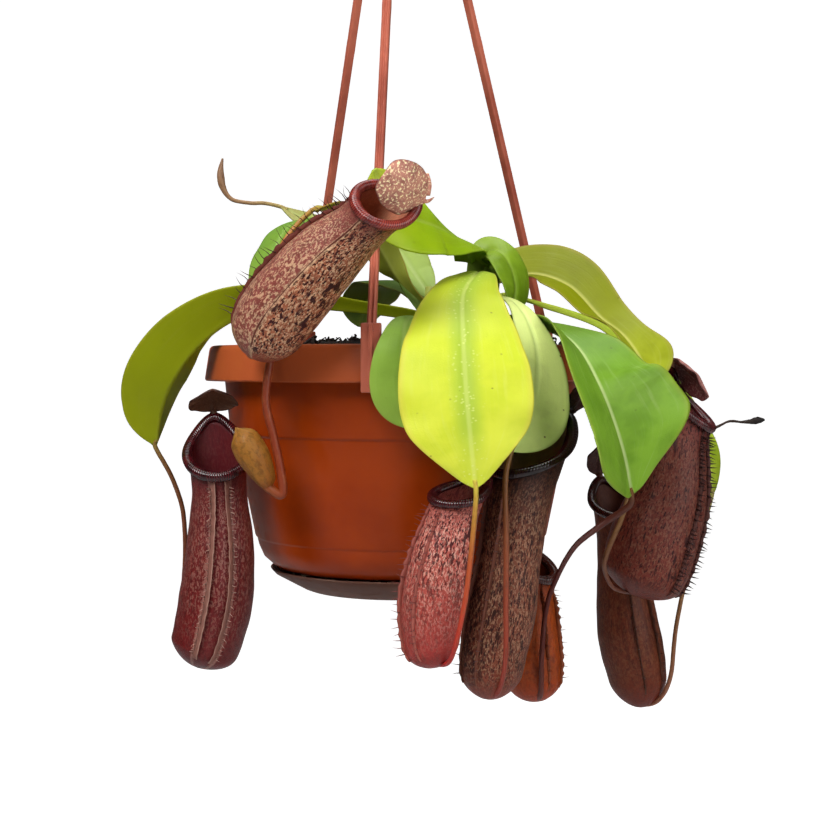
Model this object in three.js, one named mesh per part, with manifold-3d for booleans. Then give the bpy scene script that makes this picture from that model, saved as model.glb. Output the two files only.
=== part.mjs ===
// A hanging pitcher plant: a rosette of long leaves on two short stems, each leaf drawn out into a tendril
// that carries a hollow pitcher, in a plastic hanging pot with a clip-on saucer and a three-armed hanger.
// Millimetres, +Z up. X runs to the right and Y away from the viewer. The origin is the point under the
// crest of the hook by which the pot hangs. Below, all places are measured from the middle of the pot's rim.

import * as THREE from 'three';
import { mergeVertices } from 'three/addons/utils/BufferGeometryUtils.js';
import Module from 'manifold-3d';

const wasm = await Module();
wasm.setup();

// Driving dimensions of the made pieces
const RIM_DROP = 264;          // the rim lies this far below the hanging point
const GAP = 0.35;              // air between two pieces that sit in or against each other
const POT = {
  lip: 73.6,                   // radius at the top of the skirt
  skirt: 75.4,                 // radius at the skirt's lower edge
  skirtDrop: 13.2,
  neck: 67.8,                  // body just under the skirt
  band: 65.9,                  // body at the step
  bandDrop: 33,
  step: 1.1,
  belly: 61,                   // body half way down
  bellyDrop: 50,
  ring: 55.8,                  // body at the moulded line near the base
  ringDrop: 73,
  foot: 49.6,
  height: 84.5,
  wall: 1.4,
  hole: 5.2,
  drains: 4,
  drainRing: 30,
  drainRadius: 3.4,
  sides: 26,
};
const SAUCER = {
  rim: 50.6,
  top: -84.9,
  base: 38,
  bottom: -93.6,
  wall: 1.3,
  boss: 10,                    // what the pot stands on; the pin and its head clip into the pot's hole
  pin: 4.6,
  head: 6.4,
  sides: 22,
};
const SOIL = {
  level: -1,
  lump: 2.2,
  sides: 16,
  pocket: 8,                   // a hollow under the middle that leaves room for the saucer's pin
};
const HANGER = {
  angles: { front: -7.5, right: 128, left: -148.5 },   // degrees round the pot from the front, to the right
  clipRadius: 75.9,
  clipThick: 2.3,
  clipWidth: 7,
  clipTop: 7,
  clipBottom: -16.6,
  lipDepth: 4.6,
  rodWidth: 3.2,
  rodDepth: 2.6,
  hubRadius: 8.5,
  hubBottom: 222,
  hubTop: 230,
  rodRing: 5,
  hookWire: 2,
  hookRadius: 11,
};
const SKIN = 0.8;              // thickness of a leaf
const TIP = 0.9;               // half width of a leaf where its tendril starts

const finish = (color, roughness) => new THREE.MeshStandardMaterial({ color, roughness, metalness: 0 });
const LOOK = {
  pot: finish('#a0522d', 0.35),
  saucer: finish('#73493b', 0.5),
  soil: finish('#1d1714', 0.95),
  hanger: finish('#8a4632', 0.4),
  stem: finish('#7d8b35', 0.6),
  leaf: finish('#7fa82c', 0.4),
  tendril: finish('#8a3d22', 0.5),
  pitcher: finish('#7d4339', 0.45),
  rim: finish('#4b1218', 0.2),
  lid: finish('#6b4a3d', 0.5),
};

const V = (x, y, z) => new THREE.Vector3(x, y, z);
const smooth = (x) => {
  const c = Math.min(Math.max(x, 0), 1);
  return c * c * (3 - 2 * c);
};
const spline = (points) => new THREE.CatmullRomCurve3(points.map((p) => V(...p)), false, 'catmullrom', 0.5);

// A number that runs smoothly through a list of values as t goes from 0 to 1
function along(values, t) {
  const curve = new THREE.CatmullRomCurve3(values.map((v) => V(v, 0, 0)), false, 'catmullrom', 0.5);
  return curve.getPoint(t).x;
}

// The tangent, the facing side and the sideways direction of a path at t
function frameAt(path, faces, t) {
  const along = path.getTangent(t);
  const place = t * (faces.length - 1);
  const first = Math.min(Math.floor(place), Math.max(faces.length - 2, 0));
  const face = V(...faces[first]).normalize();
  if (faces.length > 1) face.lerp(V(...faces[first + 1]).normalize(), place - first);
  face.addScaledVector(along, -face.dot(along)).normalize();
  const side = new THREE.Vector3().crossVectors(along, face);
  return { along, face, side };
}

// Triangles as a three.js geometry
function surface(points, triangles) {
  const geometry = new THREE.BufferGeometry();
  const places = points.flatMap((p) => [p.x, p.y, p.z]);
  geometry.setAttribute('position', new THREE.Float32BufferAttribute(places, 3));
  geometry.setIndex(triangles.flat());
  return geometry;
}

// A closed skin through rings of equal count. Each end closes on a point, or on the middle of its ring.
function loft(rings, start, end) {
  const count = rings[0].length;
  const middle = (ring) => ring.reduce((sum, p) => sum.add(p), V(0, 0, 0)).divideScalar(ring.length);
  const points = [...rings.flat(), start ?? middle(rings[0]), end ?? middle(rings.at(-1))];
  const first = points.length - 2;
  const last = points.length - 1;
  const triangles = [];
  for (let r = 0; r < rings.length; r += 1) {
    for (let i = 0; i < count; i += 1) {
      const a = r * count + i;
      const b = r * count + ((i + 1) % count);
      if (r === 0) triangles.push([first, b, a]);
      if (r === rings.length - 1) triangles.push([last, a, b]);
      else triangles.push([a, b, b + count], [a, b + count, a + count]);
    }
  }
  return surface(points, triangles);
}

// The same without ends: rings that close on each other, as a collar does
function collar(rings) {
  const count = rings[0].length;
  const triangles = [];
  for (let r = 0; r < rings.length; r += 1) {
    for (let i = 0; i < count; i += 1) {
      const next = (r + 1) % rings.length;
      const a = r * count + i;
      const b = r * count + ((i + 1) % count);
      const c = next * count + ((i + 1) % count);
      const d = next * count + i;
      triangles.push([a, b, c], [a, c, d]);
    }
  }
  return surface(rings.flat(), triangles);
}

// Joining and cutting solids
function solid(geometry) {
  const bare = geometry.clone();
  bare.deleteAttribute('normal');
  bare.deleteAttribute('uv');
  const merged = mergeVertices(bare, 1e-4);
  const corners = merged.index.array;
  const kept = [];
  for (let i = 0; i < corners.length; i += 3) {
    const [a, b, c] = [corners[i], corners[i + 1], corners[i + 2]];
    if (a !== b && b !== c && c !== a) kept.push(a, b, c);
  }
  return new wasm.Manifold(new wasm.Mesh({
    numProp: 3,
    vertProperties: new Float32Array(merged.attributes.position.array),
    triVerts: new Uint32Array(kept),
  }));
}

function shape(body) {
  const mesh = body.getMesh();
  const geometry = new THREE.BufferGeometry();
  geometry.setAttribute('position', new THREE.BufferAttribute(Float32Array.from(mesh.vertProperties), 3));
  geometry.setIndex(Array.from(mesh.triVerts));
  return geometry;
}

const join = (geometries) => shape(geometries.map(solid).reduce((sum, body) => sum.add(body)));
const cut = (geometry, tools) => shape(tools.map(solid)
  .reduce((rest, tool) => rest.subtract(tool), solid(geometry)));

// A profile of [radius, height] pairs turned round the Z axis
function turned(profile, sides) {
  const outline = profile.map(([radius, height]) => new THREE.Vector2(radius, height));
  return new THREE.LatheGeometry(outline, sides).rotateX(Math.PI / 2);
}

// A round rod through points, with a radius that changes along it
function rod(points, radii, sides, steps) {
  const path = spline(points);
  let across = V(0, 0, 1);
  const rings = [];
  for (let s = 0; s <= steps; s += 1) {
    const t = s / steps;
    const tangent = path.getTangent(t);
    if (s === 0 && Math.abs(tangent.z) > 0.9) across = V(1, 0, 0);
    across.addScaledVector(tangent, -across.dot(tangent)).normalize();
    const second = new THREE.Vector3().crossVectors(tangent, across);
    const centre = path.getPoint(t);
    const radius = along(radii, t);
    rings.push(Array.from({ length: sides }, (_, i) => {
      const turn = (2 * Math.PI * i) / sides;
      return centre.clone().addScaledVector(across, radius * Math.cos(turn))
        .addScaledVector(second, radius * Math.sin(turn));
    }));
  }
  return loft(rings);
}

// A box between two corners
function block(low, high) {
  const size = high.map((h, i) => h - low[i]);
  return new THREE.BoxGeometry(...size).translate(...low.map((l, i) => l + size[i] / 2));
}

// The pot, its saucer and its soil
function makePot() {
  const { lip, skirt, skirtDrop, neck, band, bandDrop, step, foot, height, wall } = POT;
  const { belly, bellyDrop, ring, ringDrop } = POT;
  const profile = [
    [0, -height], [foot - 3, -height], [foot, -height + 0.8], [ring - 2.6, -height + 4.2],
    [ring - 0.7, -ringDrop - 3], [ring, -ringDrop - 0.4], [ring + 0.5, -ringDrop + 0.4], [belly, -bellyDrop],
    [band - step, -bandDrop - 0.8], [band, -bandDrop + 0.6], [neck, -skirtDrop - 0.6], [neck + 0.4, -2.8],
    [lip - 1.7, -2.8], [skirt - 1.5, -skirtDrop], [skirt, -skirtDrop], [skirt, -skirtDrop + 0.8],
    [lip + 0.1, -1.6], [lip - 0.8, -0.2], [lip - 1.8, 0], [neck + 0.6 - wall, 0], [neck - 0.4 - wall, -1],
    [neck - wall, -skirtDrop], [band - wall, -bandDrop], [belly - wall, -bellyDrop], [ring - wall, -ringDrop],
    [foot - 2.2, -height + wall + 1.6], [foot - 5, -height + wall], [0, -height + wall],
  ];
  const body = turned(profile, POT.sides);
  const hole = (x, y, radius) => new THREE.CylinderGeometry(radius, radius, 4 * wall, 9).rotateX(Math.PI / 2)
    .translate(x, y, -height + wall / 2);
  const drains = Array.from({ length: POT.drains }, (_, i) => {
    const turn = (2 * Math.PI * i) / POT.drains;
    return hole(POT.drainRing * Math.cos(turn), POT.drainRing * Math.sin(turn), POT.drainRadius);
  });
  return cut(body, [hole(0, 0, POT.hole), ...drains]);
}

function makeSaucer() {
  const { rim, top, base, bottom, wall, boss, pin, head } = SAUCER;
  const floor = -POT.height;
  return turned([
    [0, bottom], [base - 2, bottom], [base, bottom + 0.5], [rim - 0.4, top - 0.9], [rim, top - 0.3],
    [rim - 0.5, top], [rim - 1.3, top - 0.3], [base - 0.6, bottom + wall + 0.4],
    [base - 2.4, bottom + wall], [boss, bottom + wall],
    [boss, floor - GAP], [pin, floor - GAP], [pin, floor + POT.wall + GAP], [head, floor + POT.wall + GAP],
    [pin, floor + POT.wall + 3], [0, floor + POT.wall + 3],
  ], SAUCER.sides);
}

function makeSoil() {
  const { level, lump, sides, pocket } = SOIL;
  const inset = POT.wall + GAP;
  const floor = -POT.height + POT.wall + GAP;
  const bumps = (x, y) => lump * Math.sin(0.21 * x + 1.3) * Math.cos(0.17 * y)
    + 0.6 * lump * Math.sin(0.43 * y - 0.31 * x);
  const circle = (radius, height) => Array.from({ length: sides }, (_, i) => {
    const turn = (2 * Math.PI * i) / sides;
    const x = radius * Math.cos(turn);
    const y = radius * Math.sin(turn);
    return V(x, y, typeof height === 'number' ? height : height(x, y));
  });
  const crown = (x, y) => level + bumps(x, y);
  const rings = [
    circle(pocket, floor + 5), circle(pocket, floor), circle(POT.foot - 5.4, floor),
    circle(POT.ring - inset, -POT.ringDrop + 1), circle(POT.belly - inset - 0.3, -POT.bellyDrop),
    circle(POT.band - inset - 0.3, -POT.bandDrop), circle(POT.neck - inset - 0.3, -POT.skirtDrop),
    circle(POT.neck - inset - 0.6, (x, y) => Math.min(crown(x, y), -2) - 1), circle(58, crown),
    circle(42, crown), circle(22, crown),
  ];
  return loft(rings, V(0, 0, floor + 5), V(0, 0, crown(0, 0)));
}

// The hanger: three ridged rods, each with a clip that grips the skirt, in a hub with a hook
function rodSection(grow) {
  const w = HANGER.rodWidth / 2 + grow;
  const d = HANGER.rodDepth / 2 + grow;
  const rib = w * 0.42;
  return [[-w, -d], [-rib, -d], [0, -d - 0.5], [rib, -d], [w, -d], [w, d], [-w, d]];
}

function beam(start, end, outward, section) {
  const along = end.clone().sub(start).normalize();
  const out = outward.clone().addScaledVector(along, -outward.dot(along)).normalize();
  const side = new THREE.Vector3().crossVectors(along, out);
  const ring = (centre) => section
    .map(([s, o]) => centre.clone().addScaledVector(side, s).addScaledVector(out, -o));
  return loft([ring(start), ring(end)]);
}

function armEnds(degrees) {
  const turn = THREE.MathUtils.degToRad(degrees);
  const out = V(Math.sin(turn), -Math.cos(turn), 0);
  const foot = out.clone().multiplyScalar(HANGER.clipRadius + HANGER.clipThick / 2).setZ(HANGER.clipTop - 3);
  const head = out.clone().multiplyScalar(HANGER.rodRing).setZ(HANGER.hubTop - 3);
  return { turn, out, foot, head };
}

function makeArm(degrees) {
  const { turn, out, foot, head } = armEnds(degrees);
  const { clipRadius, clipThick, clipWidth, clipTop, clipBottom, lipDepth } = HANGER;
  const half = clipWidth / 2;
  const plate = block([-half, -clipRadius - clipThick, clipBottom], [half, -clipRadius, clipTop]);
  const shelf = -POT.skirtDrop - GAP;
  const under = block([-half, -clipRadius - 0.5, clipBottom], [half, -clipRadius + lipDepth, shelf]);
  const ridge = block([-0.8, -clipRadius - clipThick - 0.7, clipBottom + 2], [0.8, -clipRadius - 1, clipTop]);
  const clip = [plate, under, ridge].map((piece) => piece.rotateZ(turn));
  return join([...clip, beam(foot, head, out, rodSection(0))]);
}

function makeHook() {
  const { hubRadius, hubBottom, hubTop, hookWire, hookRadius, angles } = HANGER;
  const centre = RIM_DROP - hookRadius + hookWire;
  const turns = [-50, -20, 15, 50, 90, 130, 165, 205];
  const bend = turns.map((angle) => {
    const turn = THREE.MathUtils.degToRad(angle);
    return [hookRadius * Math.cos(turn), 0, centre + hookRadius * Math.sin(turn)];
  });
  const shank = [[0, 0, hubTop - 3], [0, 0, hubTop + 4], [1.5, 0, hubTop + 9]];
  const wire = rod([...shank, ...bend], [hookWire, hookWire], 7, 21);
  const hub = turned([
    [0, hubBottom], [hubRadius - 1, hubBottom], [hubRadius, hubBottom + 1], [hubRadius - 1.2, hubTop - 1.5],
    [hubRadius - 3, hubTop], [0, hubTop],
  ], 16);
  const sockets = Object.values(angles).map((degrees) => {
    const { out, foot, head } = armEnds(degrees);
    const past = head.clone().sub(foot).setLength(GAP).add(head);
    return beam(foot, past, out, rodSection(0.3));
  });
  return cut(join([hub, wire]), sockets);
}

// Stems: [x, y, z] up the stem and its radius from the root to the crown
const STEMS = {
  main: { path: [[12, 0, -38], [12.4, 0, -12], [12, 0.6, 8], [12.2, 1.4, 23]], radii: [4.4, 4.4, 4, 2.6] },
  side: { path: [[31, -3, -36], [31, -5, -8], [30, -6, 14], [29, -8, 32]], radii: [4, 4, 3.6, 2.4] },
};
const stem = ({ path, radii }, grow) => rod(path, radii.map((r) => r + grow), 9, 9);

// Leaves: the midrib from the stem to the tip, the way the upper side faces along it, the greatest half
// width, the half width of the leaf stalk, where the blade is widest (skew over 1 is nearer the tip), how
// blunt it is (full), the slope of its two halves (fold), how far they curl down (arch) and, for some, how
// far the tip is drawn in
const LEAVES = {
  front: {
    midrib: [[30, -9, 26], [28, -33, 26.5], [21.5, -67, 17], [20.4, -90, 2.7], [21, -99, -15.2],
      [22.4, -102, -31.2], [24, -102, -46.6]],
    faces: [[0, -0.3, 1], [0, -0.5, 1], [0, -1, 0.35], [0, -1, -0.1]],
    half: 22, stalk: 5.5, skew: 1.75, full: 0.62, fold: 0.05, arch: 0.16, drawn: 0.32,
  },
  left: {
    midrib: [[11, 0, 7], [3.1, -6, 10.6], [-19.6, -14, 13.5], [-41.7, -22, 14.6],
      [-60.3, -32, 9.9], [-74, -36, -0.4], [-83.4, -36, -13.5], [-88.4, -32, -25.6],
      [-90.3, -30, -37]],
    faces: [[0, 0.2, 1], [-0.1, 0.5, 1], [-0.4, 0.8, 0.8], [-0.8, 0.7, 0.3]],
    half: 14, stalk: 3, skew: 2.3, full: 0.7, fold: 0.85, arch: 0,
  },
  bud: {
    midrib: [[12, 2, 19], [5.1, 14, 29.4], [-4, 20, 41], [-20.1, 24, 47.7], [-33.8, 24, 49.6],
      [-48, 24, 56]],
    faces: [[-0.5, 0.2, 1], [-0.3, -0.5, 1], [0, -0.6, 1]],
    half: 12, stalk: 2.4, skew: 1, full: 0.7, fold: 0.1, arch: 0.2,
  },
  upper: {
    midrib: [[11, 0, 14.7], [-1.5, -5, 27], [-10, -12, 40], [-18, -19, 47], [-26, -25, 50.5],
      [-32.4, -30, 49.1]],
    faces: [[-0.6, -0.3, 1], [-0.5, 0, 1], [0, -0.1, 1]],
    half: 8, stalk: 2.4, skew: 1.2, full: 0.7, fold: 0.3, arch: 0,
  },
  young: {
    midrib: [[11, 1, 11], [-4, 7, 31], [-23.9, 4, 45.2], [-39, -4, 47.8], [-45.5, -22, 37.9],
      [-48, -37, 22.1], [-48.4, -47, 10.6]],
    faces: [[-0.8, 0.3, 1], [-0.3, 0, 1], [-0.5, -0.8, 0.8], [-0.3, -1, 0.6]],
    half: 10, stalk: 2.4, skew: 1.5, full: 0.6, fold: 0.1, arch: 0.15,
  },
  back: {
    midrib: [[12.5, 2, 13], [4, 30, 25], [-8, 50, 27], [-15.5, 62, 19], [-18, 65, 9]],
    faces: [[-0.2, 0, 1], [-0.2, 0.3, 1], [-0.4, 1, 0.3]],
    half: 13, stalk: 2.4, skew: 1.3, full: 0.6, fold: 0.1, arch: 0.15,
  },
  small: {
    midrib: [[12, -1, 6.5], [7.9, -44, 9], [2.5, -72, 8.5], [0.5, -81, 0], [0, -82, -13.8],
      [1.5, -81.5, -28]],
    faces: [[0, 0, 1], [0, -0.2, 1], [0, -1, 0.6], [0, -1, 0]],
    half: 10.5, stalk: 2.2, skew: 2.9, full: 0.6, fold: 0.05, arch: 0.05,
  },
  top: {
    midrib: [[27.4, -9, 31.5], [25.5, -20, 37], [20.5, -36, 39], [12.5, -52, 41.5], [2.5, -67, 44],
      [-4.5, -76, 50], [-9, -80, 58]],
    faces: [[0.3, 0.2, 1], [0, -1, 0.4], [0.2, -1, 0.4]],
    half: 13, stalk: 4.4, skew: 1.6, full: 0.7, fold: 0.1, arch: 0.2
  },
  arched: {
    midrib: [[31.5, -8, 28.5], [33, -13, 36.5], [37.2, -18, 35], [41, -22, 29],
      [42.4, -26, 21], [40.6, -31, 13.4]],
    faces: [[-0.2, -1, 0], [0.3, -0.5, 1], [1, -0.5, 0.2]],
    half: 8.5, stalk: 3.8, skew: 1.6, full: 0.5, fold: 0.15, arch: 0.2,
  },
  middle: {
    midrib: [[30, -8, 15], [36, -32, 17.6], [42.2, -52, 12.6], [46.4, -63.5, 0.5],
      [46.5, -70, -12.5], [43, -77, -24.5], [37, -82, -36]],
    faces: [[0.1, 0, 1], [0.2, -0.3, 1], [0.59, -0.8, 0.5], [0.45, -0.85, 0.1]],
    half: 15, stalk: 2.8, skew: 2.6, full: 0.75, fold: 0.05, arch: 0.05,
  },
  broad: {
    midrib: [[31, -5, 8], [43, -27, 9], [54, -49, 5.2], [61.5, -62, -1.6], [66.7, -72, -12.3],
      [71.8, -72, -24.1], [76.4, -69, -37.5], [80.1, -63, -52.3]],
    faces: [[0.3, 0, 1], [0.5, -0.5, 0.9], [0.62, -0.78, 0.4], [0.66, -0.75, 0.1]],
    half: 28, stalk: 3, skew: 3.25, full: 0.44, fold: 0.5, arch: 0.05, drawn: 0.6,
  },
  right: {
    midrib: [[29.5, -6, 21], [40, 3, 26], [52.9, 4, 28], [65.7, 0, 23], [75.9, -8, 11.3],
      [83.6, -20, 3.5], [89.4, -28, -7.3], [90.6, -32, -20.1]],
    faces: [[0, -0.3, 1], [0, -0.7, 0.8], [0.3, -0.7, 0.8], [0.7, -0.6, 0.5]],
    half: 12.5, stalk: 2.8, skew: 0.62, full: 0.85, fold: 0.5, arch: 0,
  },
  low: {
    midrib: [[30, -5, 14.5], [42, 16, 20], [54, 30, 18.5], [82.6, 40, 9.2], [105.5, 40, -7.4],
      [118.9, 34, -25.9], [125, 28, -42.9], [125.8, 22, -60.2]],
    faces: [[0.2, -0.1, 1], [0.3, -0.2, 1], [0.7, -0.5, 0.6], [0.6, -0.9, 0]],
    half: 11, stalk: 2.6, skew: 1.6, full: 0.6, fold: 0.1, arch: 0.15,
  },
};

function halfWidth(leaf, t) {
  const tip = 1 - (leaf.drawn ?? 0) * smooth((t - 0.78) / 0.22);
  const swell = tip * Math.sin(Math.PI * Math.min(t, 0.999) ** leaf.skew) ** leaf.full;
  const stalk = leaf.stalk * (1 - smooth((t - 0.5) / 0.4));
  return Math.max(leaf.half * swell, stalk, TIP);
}

// A blade: rows across a midrib, with both faces split into triangles alike
function blade(leaf, rows, columns, skin = SKIN) {
  const path = spline(leaf.midrib);
  const faces = [[], []];
  for (let r = 0; r <= rows; r += 1) {
    const t = r / rows;
    const centre = path.getPoint(t);
    const { face, side } = frameAt(path, leaf.faces, t);
    const width = halfWidth(leaf, t);
    for (let c = 0; c <= columns; c += 1) {
      const u = (2 * c) / columns - 1;
      const lift = width * (leaf.fold * Math.abs(u) - leaf.arch * u * u);
      const point = centre.clone().addScaledVector(side, u * width).addScaledVector(face, lift);
      faces[0].push(point.clone().addScaledVector(face, skin / 2));
      faces[1].push(point.clone().addScaledVector(face, -skin / 2));
    }
  }
  const wide = columns + 1;
  const under = faces[0].length;
  const triangles = [];
  for (let r = 0; r < rows; r += 1) {
    for (let c = 0; c < columns; c += 1) {
      const a = r * wide + c;
      const split = c < columns / 2
        ? [[a, a + 1, a + wide], [a + 1, a + wide + 1, a + wide]]
        : [[a, a + 1, a + wide + 1], [a, a + wide + 1, a + wide]];
      for (const [i, j, k] of split) triangles.push([i, j, k], [under + i, under + k, under + j]);
    }
  }
  const edge = [];
  for (let c = 0; c < columns; c += 1) edge.push(c);
  for (let r = 0; r < rows; r += 1) edge.push(r * wide + columns);
  for (let c = columns; c > 0; c -= 1) edge.push(rows * wide + c);
  for (let r = rows; r > 0; r -= 1) edge.push(r * wide);
  edge.forEach((a, i) => {
    const b = edge[(i + 1) % edge.length];
    triangles.push([a, under + a, b], [b, under + a, under + b]);
  });
  return surface([...faces[0], ...faces[1]], triangles);
}

const leafTip = (leaf, past) => {
  const path = spline(leaf.midrib);
  return path.getPoint(1).addScaledVector(path.getTangent(1), past).toArray();
};

// Pitchers: the axis from the base to the mouth, the radius along it, the way the winged front faces, the
// slant of the mouth in degrees, the rise of the neck behind it, the number and length of the spines on each
// of its two wings, and the lid: length, half width, degrees it is raised and rolled, and its height above
// the edge of the cup
const PITCHERS = {
  upper: {
    axis: [[-49.4, -72, -4.8], [-43.5, -77, 7.3], [-33.6, -84, 19.1], [-22.6, -91, 29.9],
      [-12.6, -98, 37.8], [-5.4, -104, 43.6]],
    girth: [10.6, 12.8, 12.8, 11.2, 8.8, 8.6], front: [-0.6, -0.7, 0.4], slant: 25, neck: 2, spines: [9, 4.5],
    wing: 0.72, collar: 0.75,
    lid: { length: 19, half: 8.4, raise: 14, roll: -60, seat: 3.6 },
  },
  left: {
    axis: [[-73.9, -42, -116.5], [-70.3, -42, -106.4], [-66.7, -42, -90.2], [-65.3, -42, -72.2],
      [-65.6, -42, -53], [-66.4, -42, -39.5]],
    girth: [11, 12.8, 13.4, 12, 9.8, 10.4], front: [0.15, -1, 0], slant: 36, neck: 5, spines: [5, 2.2],
    wing: 0.36, collar: 0.85,
    lid: { length: 12, half: 9, raise: 22, roll: 0, seat: 2.5 },
  },
  young: {
    axis: [[-45.8, -66, -50.3], [-47.6, -66, -44.8], [-51, -66, -38.2], [-54.4, -66, -32.4],
      [-57.2, -66, -28.6]],
    girth: [2.2, 4.2, 5.6, 5, 2.4], front: [-0.5, -0.8, -0.2], closed: true,
  },
  front: {
    axis: [[12.3, -84, -108.3], [10, -84, -98.7], [10.6, -84, -85.4], [13.3, -84, -72.1],
      [16.6, -84, -58.7], [19.3, -84, -50.6]],
    girth: [8.4, 9.8, 11, 10.6, 8.8, 8], front: [-0.8, -0.6, 0], slant: 28, neck: 4, spines: [6, 2.4],
    wing: 0.36, collar: 0.75,
    lid: { length: 13, half: 6.5, raise: 50, roll: 0, seat: 2.5 },
  },
  middle: {
    axis: [[30.1, -70, -122.4], [31.1, -70, -109.8], [34.5, -70, -91], [37.3, -70, -72.2],
      [40.3, -70, -53], [45, -67.5, -39]],
    girth: [9, 11.2, 12, 10.8, 11, 11], front: [-0.75, -0.62, 0], slant: 42, neck: 8, spines: [5, 2.2],
    wing: 0.36, collar: 0.9,
    lid: { length: 11, half: 5, raise: 100, roll: 0, seat: 3 },
  },
  broad: {
    axis: [[48.5, -48, -128.2], [47.4, -48, -115.3], [46.4, -48, -101.8], [46, -48, -88.2],
      [47, -49, -79]],
    girth: [9, 10.6, 10.2, 9.2, 7.6], front: [0.7, -0.7, 0], slant: 25, neck: 2, spines: [3, 1.8],
    wing: 0.36, collar: 0.8,
    lid: { length: 12, half: 6, raise: 35, roll: 0, seat: 2.5 },
  },
  right: {
    axis: [[88, -22, -94.1], [91.2, -22, -85.8], [95, -22, -72.8], [99.5, -22, -59.7],
      [102.8, -22, -45.8], [105.4, -22, -32.4], [107.3, -22, -23.4]],
    girth: [13, 16, 16.6, 15, 12.4, 10, 9.6], front: [0.85, -0.5, 0], slant: 32, neck: 6, spines: [9, 3],
    wing: 0.36, collar: 0.85,
    lid: { length: 20, half: 9.5, raise: -34, roll: -30, seat: 4.1 },
  },
  low: {
    axis: [[97.1, 14, -144.7], [95.1, 14, -132.7], [92.3, 14, -118.8], [89.9, 14, -102.9],
      [88.4, 14, -87], [86.6, 14, -72.3], [85.4, 14, -63]],
    girth: [9, 11.6, 12.6, 11.4, 9.6, 8.6, 8.6], front: [0.4, -0.9, 0], slant: 30, neck: 4, spines: [4, 1.8],
    wing: 0.36, collar: 0.85,
    lid: { length: 15, half: 7, raise: 60, roll: 0, seat: 2.6 },
  },
};
const CUP = {
  wall: 1,
  round: 0.16,                 // how much of the length the rounded base takes up
  floor: 0.14,                 // where the hollow ends
  sides: 12,
  wingHeight: 1.6,
  wingThick: 1.1,
  spineRadius: 0.5,
};
const CUP_RINGS = [0.02, 0.07, 0.15, 0.28, 0.43, 0.6, 0.77, 0.92, 1];
const WELL_RINGS = [1, 0.84, 0.58, 0.28];

// The place on a pitcher's skin at t along it and at an angle round it, 0 on its front
function skinPoint(pitcher, t, turn, inset) {
  const path = spline(pitcher.axis);
  const { along: up, face: front, side } = frameAt(path, [pitcher.front], t);
  const rounded = Math.sqrt(1 - (1 - Math.min(t / CUP.round, 1)) ** 2);
  const top = pitcher.closed ? Math.sqrt(Math.max(1 - smooth((t - 0.7) / 0.3), 0.03)) : 1;
  const radius = along(pitcher.girth, t) * rounded * top - inset;
  const rise = smooth((t - 0.55) / 0.45);
  const slant = Math.tan(THREE.MathUtils.degToRad(pitcher.slant ?? 0)) * rise;
  const fromBack = Math.PI - Math.abs(Math.atan2(Math.sin(turn), Math.cos(turn)));
  const behind = Math.exp(-(fromBack ** 2) / 0.5);
  const lift = -slant * radius * Math.cos(turn) + (pitcher.neck ?? 0) * rise * rise * behind;
  const out = front.clone().multiplyScalar(Math.cos(turn)).addScaledVector(side, Math.sin(turn));
  const point = path.getPoint(t).addScaledVector(out, radius).addScaledVector(up, lift);
  return { point, out, up, front, side };
}

const turnsRound = (count) => Array.from({ length: count }, (_, i) => (2 * Math.PI * i) / count);

// Two fringed wings down the front of a pitcher: a thin fin and a row of spines on each
function wings(pitcher) {
  const [count, length] = pitcher.spines;
  const pieces = [];
  for (const turn of [-pitcher.wing, pitcher.wing]) {
    const rings = [];
    for (let s = 0; s <= 6; s += 1) {
      const t = 0.12 + (0.82 * s) / 6;
      const height = CUP.wingHeight * Math.sin(Math.PI * (0.12 + (0.76 * s) / 6));
      const { point, out, up } = skinPoint(pitcher, t, turn, 0);
      const across = new THREE.Vector3().crossVectors(out, up).normalize().multiplyScalar(CUP.wingThick / 2);
      const low = point.clone().addScaledVector(out, -CUP.wall * 0.6);
      const high = point.clone().addScaledVector(out, height);
      rings.push([low.clone().sub(across), low.clone().add(across), high]);
    }
    pieces.push(loft(rings));
    for (let s = 0; s < count; s += 1) {
      const t = 0.14 + (0.78 * (s + 0.5)) / count;
      const { point, out, up } = skinPoint(pitcher, t, turn, 0);
      const reach = length * (0.75 + 0.25 * Math.sin(2.4 * s + turn));
      const root = point.clone().addScaledVector(out, -0.3);
      const tip = point.clone().addScaledVector(out, CUP.wingHeight + reach)
        .addScaledVector(up, 0.25 * reach * Math.sin(5 * s));
      const across = new THREE.Vector3().crossVectors(out, up).normalize();
      const ring = [0, 1, 2].map((i) => {
        const angle = (2 * Math.PI * i) / 3;
        return root.clone().addScaledVector(across, CUP.spineRadius * Math.cos(angle))
          .addScaledVector(up, -CUP.spineRadius * Math.sin(angle));
      });
      const base = ring.reduce((sum, p) => sum.add(p), V(0, 0, 0)).divideScalar(3);
      pieces.push(loft([ring], base, tip));
    }
  }
  return pieces;
}

function makePitcher(pitcher) {
  const turns = turnsRound(pitcher.closed ? 10 : CUP.sides);
  const outer = CUP_RINGS.map((t) => turns.map((turn) => skinPoint(pitcher, t, turn, 0).point));
  const base = spline(pitcher.axis).getPoint(0);
  if (pitcher.closed) return loft(outer, base, spline(pitcher.axis).getPoint(1));
  const inner = WELL_RINGS.map((t) => turns.map((turn) => skinPoint(pitcher, t, turn, CUP.wall).point));
  const well = spline(pitcher.axis).getPoint(CUP.floor);
  return join([loft([...outer, ...inner], base, well), ...wings(pitcher)]);
}

// The collar rolled over the mouth, as [away from it, over it] from the outer edge of the cup
const COLLAR = [[-1.8, 0.4], [-1.3, 2], [0.5, 2.6], [2.3, 1.5], [2.5, -0.7], [GAP + 0.25, GAP]];

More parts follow.
